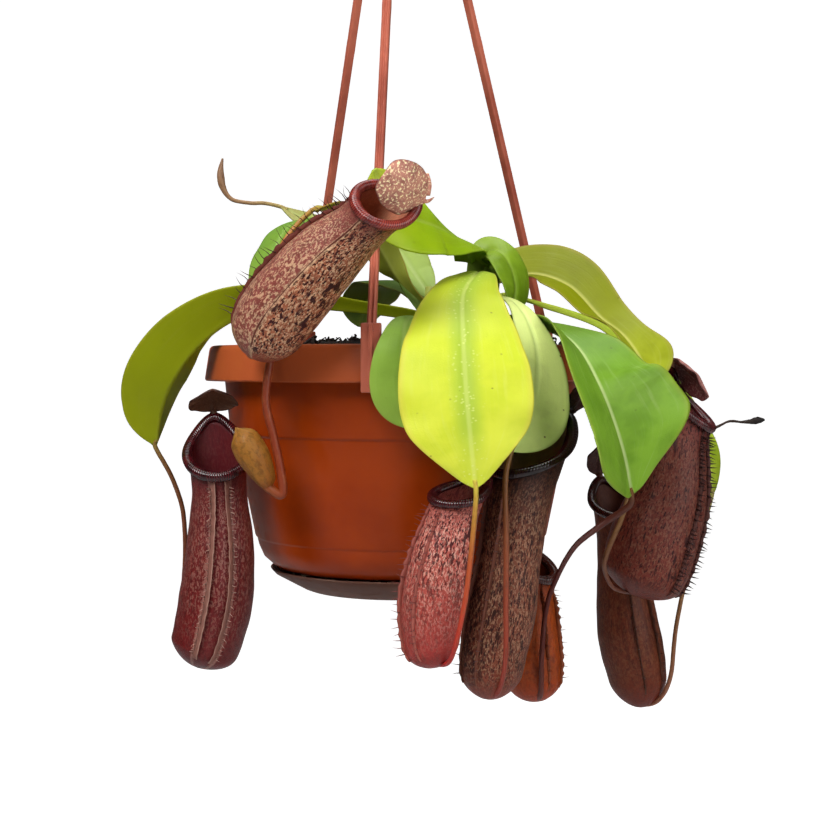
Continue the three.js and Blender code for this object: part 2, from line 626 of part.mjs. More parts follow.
function makeRim(pitcher) {
  const rings = turnsRound(14).map((turn) => {
    const { point, up } = skinPoint(pitcher, 1, turn, 0);
    const away = point.clone().sub(skinPoint(pitcher, 1, turn, CUP.wall).point).normalize();
    const over = up.clone().addScaledVector(away, -up.dot(away)).normalize();
    const size = pitcher.collar;
    return COLLAR.map(([a, o]) => point.clone().addScaledVector(away, size * a)
      .addScaledVector(over, Math.max(size * o, GAP)));
  });
  return collar(rings);
}

function makeLid(pitcher) {
  const { length, half, raise, roll, seat } = pitcher.lid;
  const { point, out, up, front, side } = skinPoint(pitcher, 1, Math.PI, 0);
  const lift = THREE.MathUtils.degToRad(raise);
  const forward = front.clone().multiplyScalar(Math.cos(lift)).addScaledVector(up, Math.sin(lift));
  const top = up.clone().multiplyScalar(Math.cos(lift)).addScaledVector(front, -Math.sin(lift));
  top.applyAxisAngle(forward, THREE.MathUtils.degToRad(roll));
  const base = point.clone().addScaledVector(up, seat).addScaledVector(out, 0.4)
    .addScaledVector(top, 0.8);
  const midrib = [0, 0.3, 0.65, 1].map((t) => base.clone().addScaledVector(forward, t * length)
    .addScaledVector(top, length * 0.35 * t * (1 - t)).toArray());
  const spec = { midrib, faces: [top.toArray()], half, stalk: 1.6, skew: 1, full: 0.5, fold: 0, arch: 0.25 };
  return blade(spec, 6, 4, SKIN + 0.1);
}

// Tendrils: the points between a leaf's tip and the base of its pitcher, and the radius along them
const TENDRILS = {
  upper: {
    way: [[-39.7, -46, 39.3], [-45.5, -57, 26.7], [-50.5, -60, 13.7], [-53, -61.5, 0],
      [-54.2, -64, -5.5], [-52.6, -68.2, -7.6]],
    radii: [1.6, 1.2, 1.2, 1.3],
  },
  left: {
    way: [[-85, -29, -48], [-81, -28, -60.2], [-80, -28, -74], [-80.5, -28, -86], [-81.5, -30, -104],
      [-80.5, -35.5, -115.5]],
    radii: [1.4, 1.1, 1.1, 1.2],
  },
  young: {
    way: [[-46.4, -53, 5.5], [-43.9, -58.5, 3.5], [-44.8, -64, -3.5], [-46.5, -66, -19.3],
      [-43.6, -66, -33.1], [-41.2, -66, -45.1], [-41.2, -66, -52]],
    radii: [1.2, 1, 1, 1.1],
  },
  front: {
    way: [[24, -101.5, -52], [22.8, -100.5, -66], [21, -99.5, -82], [18.3, -98, -96],
      [16.4, -93, -107]],
    radii: [1.2, 1, 1.1, 1],
  },
  middle: {
    way: [[34.8, -84, -46], [35, -85.5, -66], [35, -85.5, -86], [34.9, -84.5, -106],
      [33, -79, -120.5]],
    radii: [1.5, 1.2, 1.2, 1],
  },
  broad: {
    way: [[79.4, -60.4, -56.8], [71, -56, -63.5], [61, -59, -71], [54.5, -61.5, -81.5],
      [50.8, -61.8, -92], [49.3, -61.5, -108], [49.6, -59.3, -121.5], [49.2, -54, -128.6]],
    radii: [1.7, 1.5, 1.1, 1.2],
  },
  right: {
    way: [[86.5, -39, -40], [80.8, -42, -60.3], [73.8, -42, -77.6], [72.2, -39.5, -85.5],
      [77, -32, -95.5]],
    radii: [1.3, 1.2, 1.4, 0.9],
  },
  low: {
    way: [[119, 14, -78], [112.5, 7, -93.6], [108.5, 5, -112], [106.6, 5.5, -131],
      [103, 9, -143.5]],
    radii: [1.3, 1.1, 1.1, 1.2],
  },
};
const BUD = {
  way: [[-55, 24, 57.6], [-61.1, 24, 57.7], [-68, 24, 59.2], [-71.6, 24, 64], [-72.4, 24, 70],
    [-71.6, 24, 75.5]],
  radii: [1.1, 1, 1, 1.1, 1.9, 0.5],
};
// A dried thread with a small dead bud, stuck to the outer edge of the right pitcher
const DRY = {
  path: [[117.95, -23.1, -30.8], [122.5, -25, -28.4], [126, -28, -28.4], [131, -28, -28.2],
    [135, -28, -27.6]],
  radii: [0.6, 0.5, 0.5, 0.6, 1.3],
};

function makeTendril(name) {
  const start = leafTip(LEAVES[name], 2 * GAP);
  const path = spline(PITCHERS[name].axis);
  const below = [-4.6, -GAP - 0.25]
    .map((past) => path.getPoint(0).addScaledVector(path.getTangent(0), past).toArray());
  return rod([start, ...TENDRILS[name].way, ...below], TENDRILS[name].radii, 6, 15);
}

// Everything in place
const plant = new THREE.Group();
plant.name = 'hanging_pitcher_plant';
plant.position.z = -RIM_DROP;

function place(name, geometry, material) {
  const mesh = new THREE.Mesh(geometry, material);
  mesh.name = name;
  plant.add(mesh);
}

const stemSpace = Object.values(STEMS).map((spec) => stem(spec, GAP));
place('pot', makePot(), LOOK.pot);
place('saucer', makeSaucer(), LOOK.saucer);
place('soil', cut(makeSoil(), stemSpace), LOOK.soil);
place('hanger_hook', makeHook(), LOOK.hanger);
for (const [name, degrees] of Object.entries(HANGER.angles)) {
  place(`hanger_arm_${name}`, makeArm(degrees), LOOK.hanger);
}
for (const [name, spec] of Object.entries(STEMS)) place(`stem_${name}`, stem(spec, 0), LOOK.stem);
for (const [name, leaf] of Object.entries(LEAVES)) {
  const wide = leaf.half > 14;
  place(`leaf_${name}`, cut(blade(leaf, wide ? 12 : 10, wide ? 6 : 4), stemSpace), LOOK.leaf);
}
for (const name of Object.keys(TENDRILS)) place(`tendril_${name}`, makeTendril(name), LOOK.tendril);
place('tendril_bud', rod([leafTip(LEAVES.bud, GAP), ...BUD.way], BUD.radii, 6, 12), LOOK.tendril);
for (const [name, pitcher] of Object.entries(PITCHERS)) {
  place(`pitcher_${name}`, makePitcher(pitcher), LOOK.pitcher);
  if (pitcher.closed) continue;
  place(`rim_${name}`, makeRim(pitcher), LOOK.rim);
  place(`lid_${name}`, makeLid(pitcher), LOOK.lid);
}
place('dry_tip', rod(DRY.path, DRY.radii, 5, 8), LOOK.soil);

export default plant;
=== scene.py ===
"""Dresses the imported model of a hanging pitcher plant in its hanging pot, for Blender 4.5.

Points in the tables are millimetres, measured from the middle of the pot's rim: X to the right, Y away
from the viewer, Z up. The scene itself is in metres from the point under the crest of the hanger's hook.
"""

from __future__ import annotations

import logging
import math
from dataclasses import dataclass, field
from enum import Enum

import bmesh
import bpy
import numpy as np
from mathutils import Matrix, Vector

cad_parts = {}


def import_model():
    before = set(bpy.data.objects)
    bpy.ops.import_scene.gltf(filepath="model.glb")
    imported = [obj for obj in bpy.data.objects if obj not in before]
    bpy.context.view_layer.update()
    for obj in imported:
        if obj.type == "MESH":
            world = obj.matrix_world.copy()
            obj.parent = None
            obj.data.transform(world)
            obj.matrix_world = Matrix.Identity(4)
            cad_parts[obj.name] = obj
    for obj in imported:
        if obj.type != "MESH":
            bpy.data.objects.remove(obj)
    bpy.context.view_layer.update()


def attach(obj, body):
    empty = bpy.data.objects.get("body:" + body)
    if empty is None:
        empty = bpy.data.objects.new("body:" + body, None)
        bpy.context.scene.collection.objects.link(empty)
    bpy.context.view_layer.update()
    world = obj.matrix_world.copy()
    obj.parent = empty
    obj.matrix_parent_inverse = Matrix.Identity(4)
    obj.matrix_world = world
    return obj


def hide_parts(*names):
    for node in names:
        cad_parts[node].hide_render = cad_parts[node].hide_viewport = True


log = logging.getLogger("pitcher_plant")

# In millimetres: the rim below the hook, the pot's foot below the rim, its wall, and the play left around its floor.
RIM_DROP = 264.0
FOOT = -84.5
WALL = 1.4
PLAY = 0.35
SMOOTH = 180.0
WHITE = (1.0, 1.0, 1.0, 1.0)
WHITE_FLOOR = (0.6, 0.6, 0.6, 1.0)
DARK_FLECK = (66, 52, 22)
Row = tuple[float, ...]
Rows = tuple[Row, ...]
Tone = tuple[int, int, int]
Array = np.ndarray
Socket = bpy.types.NodeSocket
Skin = bpy.types.Material
UP = np.array([0.0, 0.0, 1.0])


def linear(tone: Tone) -> tuple[float, float, float, float]:
    """Turns an sRGB tone of 0 to 255 into a linear colour with alpha 1.

    Args:
        tone: red, green and blue.

    Returns:
        The colour for a shader socket.
    """
    share = np.array(tone, dtype=float) / 255.0
    low = share / 12.92
    high = ((share + 0.055) / 1.055) ** 2.4
    return (*np.where(share <= 0.04045, low, high).tolist(), 1.0)


def smooth(x: Array | float) -> Array:
    """Smooth step: 3x squared less 2x cubed, held between 0 and 1."""
    c = np.clip(x, 0.0, 1.0)
    return c * c * (3.0 - 2.0 * c)


def bell(x: Array, width: float) -> Array:
    """A bell of height one: e to the power of minus the square of x over its width."""
    return np.exp(-((x / width) ** 2))


def circle(sides: int) -> Array:
    """Angles of a full turn, evenly spaced from 0."""
    return np.linspace(0, 2 * np.pi, sides, endpoint=False)


def spline(points: Rows | Array, t: Array) -> Array:
    """A Catmull-Rom curve through points, with each end point mirrored on past the end.

    Each stretch is the cubic whose slopes are half the way between its neighbours' places.

    Args:
        points: n rows of coordinates.
        t: places along the curve, 0 to 1.

    Returns:
        One row of coordinates for each t.
    """
    p = np.asarray(points, dtype=float)
    p = np.vstack([2 * p[0] - p[1], p, 2 * p[-1] - p[-2]])
    at = np.clip(np.asarray(t, dtype=float), 0.0, 1.0) * (len(p) - 3)
    i = np.minimum(at.astype(int), len(p) - 4)
    w = (at - i)[..., None]
    a, b, c, d = p[i], p[i + 1], p[i + 2], p[i + 3]
    m0, m1 = (c - a) / 2, (d - b) / 2
    return (2 * b - 2 * c + m0 + m1) * w**3 + (3 * c - 3 * b - 2 * m0 - m1) * w**2 + m0 * w + b


def values(listed: Row, t: Array) -> Array:
    """A number that runs smoothly through a list as t goes from 0 to 1."""
    return spline(tuple((v,) for v in listed), t)[..., 0]


def unit(v: Array) -> Array:
    """Vectors scaled to length one."""
    return v / np.maximum(np.linalg.norm(v, axis=-1, keepdims=True), 1e-9)


def heading(points: Rows | Array, t: Array) -> Array:
    """The direction of the curve through points at each t."""
    return unit(spline(points, np.minimum(t + 1e-3, 1.0)) - spline(points, np.maximum(t - 1e-3, 0.0)))


def length(points: Rows | Array, steps: int) -> float:
    """The length of the curve through points, summed over its chords."""
    return float(np.linalg.norm(np.diff(spline(points, np.linspace(0, 1, steps)), axis=0), axis=1).sum())


def across(tangent: Array, wanted: Array) -> tuple[Array, Array]:
    """Squares a wanted facing to a tangent.

    Args:
        tangent: unit vectors along a path.
        wanted: the rough way that a surface faces there.

    Returns:
        The facing, square to the tangent, and the sideways direction, tangent x facing.
    """
    face = unit(wanted - (wanted * tangent).sum(-1, keepdims=True) * tangent)
    return face, np.cross(tangent, face)


def moved(base: Array, *moves: tuple[Array, Array]) -> Array:
    """Moves points along directions.

    Args:
        base: the points, with room for every direction.
        moves: pairs of a direction and how far to go along it, in millimetres.

    Returns:
        The moved points.
    """
    for way, far in moves:
        base = base + way * far[..., None]
    return base


def around(turn: Array, ahead: Array, side: Array) -> Array:
    """Directions at angles from ahead towards side."""
    return np.cos(turn)[..., None] * ahead + np.sin(turn)[..., None] * side


def ripple(x: Array, y: Array, seed: float) -> Array:
    """Slow irregular swelling: a sum of three sines of unlike pitch.

    Args:
        x: one coordinate.
        y: the other.
        seed: shifts the sines.

    Returns:
        Numbers between about -1 and 1.
    """
    return (
        0.5 * np.sin(1.3 * x + 0.7 * y + seed)
        + 0.3 * np.sin(2.9 * x - 1.9 * y + 2.3 * seed)
        + 0.2 * np.sin(0.8 * x + 4.3 * y + 3.1 * seed)
    )


class Sheet:
    """Collects grids of points into one mesh, with numbers on its points for the materials to read."""

    def __init__(self) -> None:
        """Starts with nothing in it."""
        self.points: list[Array] = []
        self.faces: list[Array] = []
        self.marks: dict[str, list[Array]] = {}
        self.count = 0

    def grid(self, p: Array, marks: dict[str, Array], round_u: bool = False,
             round_v: bool = False) -> None:
        """Adds a surface given as a grid of points, rows by columns.

        Args:
            p: array of rows x columns x 3, in millimetres.
            marks: a number for each point, by the mark's name.
            round_u: the last column joins the first.
            round_v: the last row joins the first.
        """
        rows, cols = p.shape[:2]
        index = np.arange(rows * cols).reshape(rows, cols) + self.count
        if round_u:
            index = np.hstack([index, index[:, :1]])
        if round_v:
            index = np.vstack([index, index[:1]])
        quads = np.stack([index[:-1, :-1], index[:-1, 1:], index[1:, 1:], index[1:, :-1]], -1).reshape(-1, 4)
        self.faces.append(quads)
        self._keep(p.reshape(-1, 3), {k: np.broadcast_to(v, (rows, cols)).ravel() for k, v in marks.items()})

    def _keep(self, p: Array, marks: dict[str, Array]) -> None:
        """Stores points, and fills marks that one part of the mesh lacks with zeros.

        Args:
            p: the points.
            marks: a number for each point, by the mark's name.
        """
        for name in sorted(set(self.marks) | set(marks)):
            old = self.marks.setdefault(name, [np.zeros(self.count)] if self.count else [])
            old.append(marks.get(name, np.zeros(len(p))))
        self.points.append(p)
        self.count += len(p)

    def piece(self, name: str, material: Skin, node: str = "", crease: float = SMOOTH) -> None:
        """Makes the mesh object, with doubled points merged, and puts it on the one body.

        Args:
            name: the piece's name.
            material: its finish.
            node: the solid's node that it replaces, if any.
            crease: edges that turn by more degrees than this stay sharp.
        """
        mesh = bpy.data.meshes.new(name)
        p = np.vstack(self.points)
        place = (p + (0.0, 0.0, -RIM_DROP)) / 1000.0
        mesh.from_pydata(place.tolist(), [], np.vstack(self.faces).tolist())
        for key, parts in self.marks.items():
            layer = mesh.attributes.new(key, "FLOAT", "POINT")
            layer.data.foreach_set("value", np.concatenate(parts).astype(np.float32))
        obj = bpy.data.objects.new(name, mesh)
        bpy.context.scene.collection.objects.link(obj)
        mesh.materials.append(material)
        mesh.polygons.foreach_set("use_smooth", [True] * len(mesh.polygons))
        clean(mesh, crease)
        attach(obj, "root")
        if node:
            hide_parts(node)
        log.info("%s: %d faces", name, len(mesh.polygons))


def clean(mesh: bpy.types.Mesh, crease: float, reach: float = 1e-6) -> None:
    """Merges points that lie together, drops faces without area, and turns each closed shell outwards.

    Args:
        mesh: the mesh to mend.
        crease: edges that turn by more degrees than this are marked sharp.
        reach: how near in metres two points are the same.
    """
    work = bmesh.new()
    work.from_mesh(mesh)
    bmesh.ops.remove_doubles(work, verts=work.verts, dist=reach)
    bmesh.ops.dissolve_degenerate(work, edges=work.edges, dist=reach)
    bmesh.ops.recalc_face_normals(work, faces=work.faces)
    for edge in work.edges if crease < SMOOTH else ():
        if len(edge.link_faces) == 2 and edge.calc_face_angle(0.0) > math.radians(crease):
            edge.smooth = False
    work.to_mesh(mesh)
    work.free()


class Paint:
    """A material in the making: its nodes, and the colour so far. Most methods add a node and return its socket."""

    def __init__(self, name: str) -> None:
        """Starts a material that holds only its output.

        Args:
            name: the material's name.
        """
        self.material = bpy.data.materials.new(name)
        self.material.use_nodes = True
        self.tree = self.material.node_tree
        self.tree.nodes.clear()
        self.output = self.tree.nodes.new("ShaderNodeOutputMaterial")
        self.color: Socket | Tone = (0, 0, 0)

    def node(self, kind: str, inputs: dict[str | int, object] | None = None, **settings: object) -> bpy.types.Node:
        """Adds a node.

        Args:
            kind: its type.
            inputs: a socket to link or a constant to set, by the input's name or number.
            settings: the node's own settings.

        Returns:
            The node.
        """
        made = self.tree.nodes.new(kind)
        for key, value in settings.items():
            setattr(made, key, value)
        for key, value in (inputs or {}).items():
            if isinstance(value, Socket):
                self.tree.links.new(value, made.inputs[key])
            else:
                made.inputs[key].default_value = value
        return made

    def mark(self, name: str) -> Socket:
        """A number kept on the mesh's points."""
        return self.node("ShaderNodeAttribute", attribute_name=name).outputs["Fac"]

    def place(self) -> Socket:
        """The point's place on the object."""
        return self.node("ShaderNodeTexCoord").outputs["Object"]

    def spot(self, x: object, y: object, z: object = 0.0) -> Socket:
        """Three numbers as one place."""
        return self.node("ShaderNodeCombineXYZ", {0: x, 1: y, 2: z}).outputs[0]

    def maths(self, kind: str, a: object, b: object = 0.0) -> Socket:
        """Arithmetic on two numbers, by Blender's name for it."""
        return self.node("ShaderNodeMath", {0: a, 1: b}, operation=kind).outputs[0]

    def times(self, a: object, b: object) -> Socket:
        """One number times another."""
        return self.maths("MULTIPLY", a, b)

    def plus(self, a: object, b: object) -> Socket:
        """One number added to another."""
        return self.maths("ADD", a, b)

    def noise(self, where: Socket, scale: float, detail: float = 3.0, rough: float = 0.5,
              warp: float = 0.0) -> Socket:
        """Soft noise from 0 to 1."""
        return self.node("ShaderNodeTexNoise", {"Vector": where, "Scale": scale, "Detail": detail,
                                                "Roughness": rough, "Distortion": warp}).outputs["Fac"]

    def cells(self, where: Socket, scale: float) -> Socket:
        """The distance to scattered spots."""
        return self.node("ShaderNodeTexVoronoi", {"Vector": where, "Scale": scale}).outputs["Distance"]

    def band(self, value: object, low: float, high: float) -> Socket:
        """0 at low and 1 at high, smooth between them, with low allowed to be the larger."""
        return self.node("ShaderNodeMapRange", {"Value": value, "From Min": low, "From Max": high},
                         interpolation_type="SMOOTHSTEP").outputs["Result"]

    def height(self, where: Socket) -> Socket:
        """The third number of a place or direction."""
        return self.node("ShaderNodeSeparateXYZ", {0: where}).outputs[2]

    def lay(self, tone: Socket | Tone, share: object, value: Socket | None = None, low: float = 0.0,
            high: float = 1.0) -> None:
        """Lays a tone over the colour so far.

        Args:
            tone: the tone or colour on top.
            share: how much of it shows.
            value: where it shows, if not everywhere: from none at low to all at high.
            low: the number at which it starts.
            high: the number at which it shows fully.
        """
        if value is not None:
            share = self.times(self.band(value, low, high), share)
        under, over = (linear(v) if isinstance(v, tuple) else v for v in (self.color, tone))
        self.color = self.node("ShaderNodeMix", {0: share, 6: under, 7: over}, data_type="RGBA").outputs[2]

    def ramp(self, value: object, stops: tuple[tuple[float, Tone], ...]) -> Socket:
        """Tones spread along a number.

        Args:
            value: the number, from 0 to 1.
            stops: pairs of a number and the tone there.

        Returns:
            The colour.
        """
        made = self.node("ShaderNodeValToRGB", {0: value})
        made.color_ramp.interpolation = "B_SPLINE" if len(stops) > 2 else "EASE"
        while len(made.color_ramp.elements) < len(stops):
            made.color_ramp.elements.new(1.0)
        for element, (where, tone) in zip(made.color_ramp.elements, stops):
            element.position = where
            element.color = linear(tone)
        return made.outputs[0]

    def bump(self, height: Socket, depth: float, strength: float) -> Socket:
        """A relief of that depth in metres."""
        return self.node("ShaderNodeBump", {"Height": height, "Distance": depth, "Strength": strength}).outputs[0]

    def coat(self, rough: object, relief: Socket, through: float = 0.0, **sockets: object) -> Skin:
        """Closes the material with a shader of the colour so far.

        Args:
            rough: the roughness.
            relief: a normal from bump.
            through: the share of light that passes through a thin blade.
            sockets: other constants of the shader, with _ for a space in the name.

        Returns:
            The finished material.
        """
        inputs: dict[str | int, object] = {"Base Color": self.color, "Roughness": rough, "Normal": relief}
        inputs.update({key.replace("_", " "): value for key, value in sockets.items()})
        shader = self.node("ShaderNodeBsdfPrincipled", inputs).outputs[0]
        if through:
            glow = self.node("ShaderNodeBsdfTranslucent", {"Color": self.color}).outputs[0]
            shader = self.node("ShaderNodeMixShader", {0: through, 1: shader, 2: glow}).outputs[0]
        return self.finished(shader)

    def finished(self, shader: Socket) -> Skin:
        """The material, with a shader on its output."""
        self.tree.links.new(shader, self.output.inputs["Surface"])
        return self.material


@dataclass(frozen=True)
class Moulded:
    """The finish of a moulded plastic piece."""

    body: Tone
    shade: Tone
    light: Tone
    rough: float
    paler_facing_up_share: float = 0.3
    # collar: a paler tone laid above the skirt's lower edge, partly the skirt's pinker tone and partly a painted
    # highlight.
    collar: Tone | None = None

    SKIRT_HIGHLIGHT_EDGE = (-0.2777, -0.2769)

    def material(self, name: str) -> Skin:
        """Plastic with faint cloudiness, a paler and rougher tone on what faces up, and fine rubbed scratches.

        Args:
            name: the material's name.

        Returns:
            The finished material.
        """
        p = Paint(name)
        where = p.place()
        p.color = self.body
        p.lay(self.shade, 1.0, p.noise(where, 24.0, 4.0, 0.6), 0.35, 0.7)
        # The skirt and everything above it is painted paler: partly a pinker tone, partly a painted highlight.
        if self.collar is not None:
            p.lay(self.collar, 0.85, p.height(where), *self.SKIRT_HIGHLIGHT_EDGE)
        up = p.height(p.node("ShaderNodeNewGeometry").outputs["Normal"])
        # Paler and rougher where the surface faces up, broken by noise.
        paler_facing_up = p.times(p.band(up, 0.1, 1.0), p.band(p.noise(where, 90.0, 5.0, 0.7), 0.35, 0.75))
        p.lay(self.light, p.times(paler_facing_up, self.paler_facing_up_share))
        worn = p.times(p.band(p.noise(where, 160.0, 3.0, 0.6), 0.55, 0.8), 0.16)
        rough = p.plus(p.plus(worn, self.rough), p.times(paler_facing_up, 0.2))
        relief = p.bump(p.noise(where, 420.0, 2.0, 0.5), 0.00006, 0.5)
        return p.coat(rough, relief, Specular_IOR_Level=0.16)


@dataclass(frozen=True)
class LeafFinish:
    """The colours of one leaf, from its stalk to its tip."""

    stalk: Tone
    near: Tone
    far: Tone
    tip: Tone
    edge: Tone
    vein: Tone
    under: Tone
    edge_share: float = 0.5
    spots: float = 0.25
    through: float = 0.3
    rough: float = 0.36
    rib: float = 0.45
    centre: Tone | None = None
    shade: float = 0.35
    pimples: float = 0.0

    def material(self, name: str) -> Skin:
        """A smooth blade: tones along it, clouds, a fine midrib, faint streaks, a tinted edge and flecks.

        Args:
            name: the material's name.

        Returns:
            The finished material.
        """
        p = Paint(name)
        along, off, run, side, under = (p.mark(m) for m in ("along", "off", "run", "side", "under"))
        flat = p.spot(off, run)
        beside = p.maths("ABSOLUTE", off)
        p.color = p.ramp(along, ((0.0, self.stalk), (0.3, self.near), (0.68, self.far), (1.0, self.tip)))
        p.lay(self.near, 0.5, p.noise(flat, 0.07, 3.0, 0.55), 0.38, 0.68)
        dim = tuple(int(c * 0.72) for c in self.far)
        p.lay(dim, self.shade, p.noise(flat, 0.045, 4.0, 0.6, 0.3), 0.45, 0.72)
        streak = p.noise(p.spot(p.times(side, 9.0), p.times(run, 0.03)), 1.6, 3.0, 0.6)
        p.lay(self.vein, 0.14, streak, 0.5, 0.78)
        if self.centre is not None:
            halo = p.times(p.band(beside, 7.0, 0.8), p.band(along, 1.0, 0.75))
            p.lay(self.centre, p.times(halo, 0.8))
        p.lay(self.edge, self.edge_share, p.maths("ABSOLUTE", side), 0.86, 1.0)
        p.lay(self.vein, self.rib, beside, 1.15, 0.25)
        if self.pimples > 0:
            dots = p.times(p.band(p.cells(flat, 0.55), 0.3, 0.12), p.band(beside, 7.0, 1.5))
            p.lay(self.vein, p.times(dots, self.pimples))
        fleck = p.times(p.band(p.cells(flat, 0.16), 0.09, 0.03), p.band(p.noise(flat, 0.07, 1.0), 0.42, 0.6))
        p.lay(DARK_FLECK, p.times(fleck, self.spots))
        p.lay(self.under, p.times(under, 0.6))
        fine = p.noise(flat, 1.6, 3.0, 0.6)
        relief = p.bump(p.plus(p.times(streak, 1.3), fine), 0.0002, 0.45)
        rough = p.plus(p.times(fine, 0.16), self.rough)
        return p.coat(rough, relief, self.through, Specular_IOR_Level=0.24)


@dataclass(frozen=True)
class LidFinish:
    """The colours of a lid, above and below, with its pale specks and dark marbling."""

    upper: Tone
    speck: Tone
    dark: Tone
    under: Tone
    specks: float = 0.6
    marble: float = 0.5

    def material(self, name: str) -> Skin:
        """Dry-looking skin: marbled, finely specked, with a thin dark edge.

        Args:
            name: the material's name.

        Returns:
            The finished material.
        """
        p = Paint(name)
        off, run, side, under = (p.mark(m) for m in ("off", "run", "side", "under"))
        flat = p.spot(off, run, under)
        p.color = self.upper
        p.lay(self.dark, self.marble, p.noise(flat, 0.22, 4.0, 0.65), 0.42, 0.66)
        p.lay(self.under, p.times(under, 0.75))
        grain = p.noise(flat, 1.1, 3.0, 0.65)
        p.lay(self.speck, self.specks, grain, 0.52, 0.62)
        p.lay(self.dark, 0.7, p.noise(flat, 0.8, 4.0, 0.7), 0.6, 0.68)
        p.lay(self.dark, 0.7, p.maths("ABSOLUTE", side), 0.93, 1.0)
        relief = p.bump(p.plus(grain, p.noise(flat, 0.5, 2.0)), 0.0004, 0.5)
        return p.coat(p.plus(p.times(grain, 0.2), 0.38), relief, Specular_IOR_Level=0.25)


@dataclass(frozen=True)
class PitcherFinish:
    """The colours of one pitcher, from its base to its mouth, with its blotches."""

    base: Tone
    middle: Tone
    top: Tone
    blotch: Tone
    net: Tone
    well: Tone
    blotches: float = 0.7
    netting: float = 0.4
    size: float = 0.34
    stretch: float = 0.4
    strip: Tone | None = None
    rough: float = 0.42
    dense: float = 0.5
    reach: float = 0.25

    def material(self, name: str) -> Skin:
        """Living skin: long tones, a pale net of fine specks, and dark blotches drawn out along the pitcher.

        Args:
            name: the material's name.

        Returns:
            The finished material.
        """
        p = Paint(name)
        along, run, well = (p.mark(m) for m in ("along", "run", "well"))
        round_, deep = p.mark("round"), p.mark("deep")
        long_ = p.spot(round_, deep, p.times(run, self.stretch))
        fine = p.spot(round_, deep, p.times(run, 0.6))
        p.color = p.ramp(along, ((0.0, self.base), (self.reach, self.middle), (0.7, self.middle), (1.0, self.top)))
        front = p.mark("front")
        if self.strip is not None:
            p.lay(self.strip, p.times(front, 0.85))
            crease = p.times(front, p.maths("SUBTRACT", 1.0, front))
            p.lay(self.net, p.times(crease, 2.6))
        cloud = p.noise(long_, 0.14, 3.0, 0.6)
        fade = p.band(along, 0.02, self.reach)
        p.lay(self.top, p.times(fade, 0.45), cloud, 0.4, 0.66)
        dim = tuple(int(c * 0.55) for c in self.middle)
        p.lay(dim, 0.45, p.noise(fine, 0.8, 4.0, 0.7), 0.48, 0.6)
        worn = p.times(p.times(fade, p.band(along, 1.02, 0.72)), self.netting)
        p.lay(self.net, worn, p.noise(fine, 1.5, 3.0, 0.65), 0.49, 0.57)
        area = p.band(p.noise(long_, 0.08, 2.0), 0.36, 0.52)
        blot = p.times(p.band(p.noise(long_, self.size * 1.3, 3.0, 0.6, 0.3), 0.57, 0.6), area)
        dash = p.band(p.noise(long_, self.size * 3.6, 2.0, 0.6), 0.6 - 0.07 * self.dense, 0.64 - 0.07 * self.dense)
        calm = p.maths("SUBTRACT", 1.0, p.times(front, 0.75 if self.strip is not None else 0.0))
        spots = p.times(p.maths("MAXIMUM", blot, dash), p.times(calm, p.band(along, 0.0, self.reach)))
        p.lay(self.blotch, p.times(spots, self.blotches))
        p.lay(self.well, p.times(well, 0.85))
        pores = p.noise(fine, 2.6, 3.0, 0.6)
        rough = p.plus(p.times(pores, 0.2), self.rough - 0.08)
        relief = p.bump(p.plus(pores, p.times(cloud, 1.4)), 0.0004, 0.45)
        return p.coat(rough, relief, Specular_IOR_Level=0.22, Subsurface_Weight=0.06, Subsurface_Scale=0.002)


@dataclass(frozen=True)
class CollarFinish:
    """The finish of the ribbed collar round a pitcher's mouth."""

    crest: Tone
    groove: Tone
    dark: Tone
    rough: float = 0.2

    def material(self, name: str) -> Skin:
        """A glossy skin, darker between the ribs, with dark patches round the ring.

        Args:
            name: the material's name.

        Returns:
            The finished material.
        """
        p = Paint(name)
        p.color = self.groove
        p.lay(self.crest, p.mark("rib"))
        p.lay(self.dark, 0.75, p.noise(p.spot(p.mark("round"), p.mark("run")), 0.22, 3.0, 0.6), 0.42, 0.62)
        relief = p.bump(p.noise(p.place(), 1500.0, 2.0), 0.0001, 0.35)
        return p.coat(self.rough, relief, Specular_IOR_Level=0.4, Coat_Weight=0.15, Coat_Roughness=0.12)


@dataclass(frozen=True)
class StrandFinish:
    """The finish of a tendril or stem that changes colour along its length."""

    stops: tuple[tuple[float, Tone], ...]
    shade: Tone
    rough: float = 0.42

    def material(self, name: str) -> Skin:
        """Tones along the strand with small darker specks.

        Args:
            name: the material's name.

        Returns:
            The finished material.
        """
        p = Paint(name)
        p.color = p.ramp(p.mark("along"), self.stops)
        where = p.spot(p.mark("round"), p.mark("deep"), p.times(p.mark("run"), 0.3))
        p.lay(self.shade, 0.45, p.noise(where, 1.2, 4.0, 0.7), 0.5, 0.66)
        relief = p.bump(p.noise(where, 1.9, 3.0, 0.6), 0.0003, 0.5)
        return p.coat(self.rough, relief, Specular_IOR_Level=0.3)


class Motion(Enum):
    """How the edge of a leaf moves up and down along its length."""

    FLAT = 0.0
    EASY = 0.7


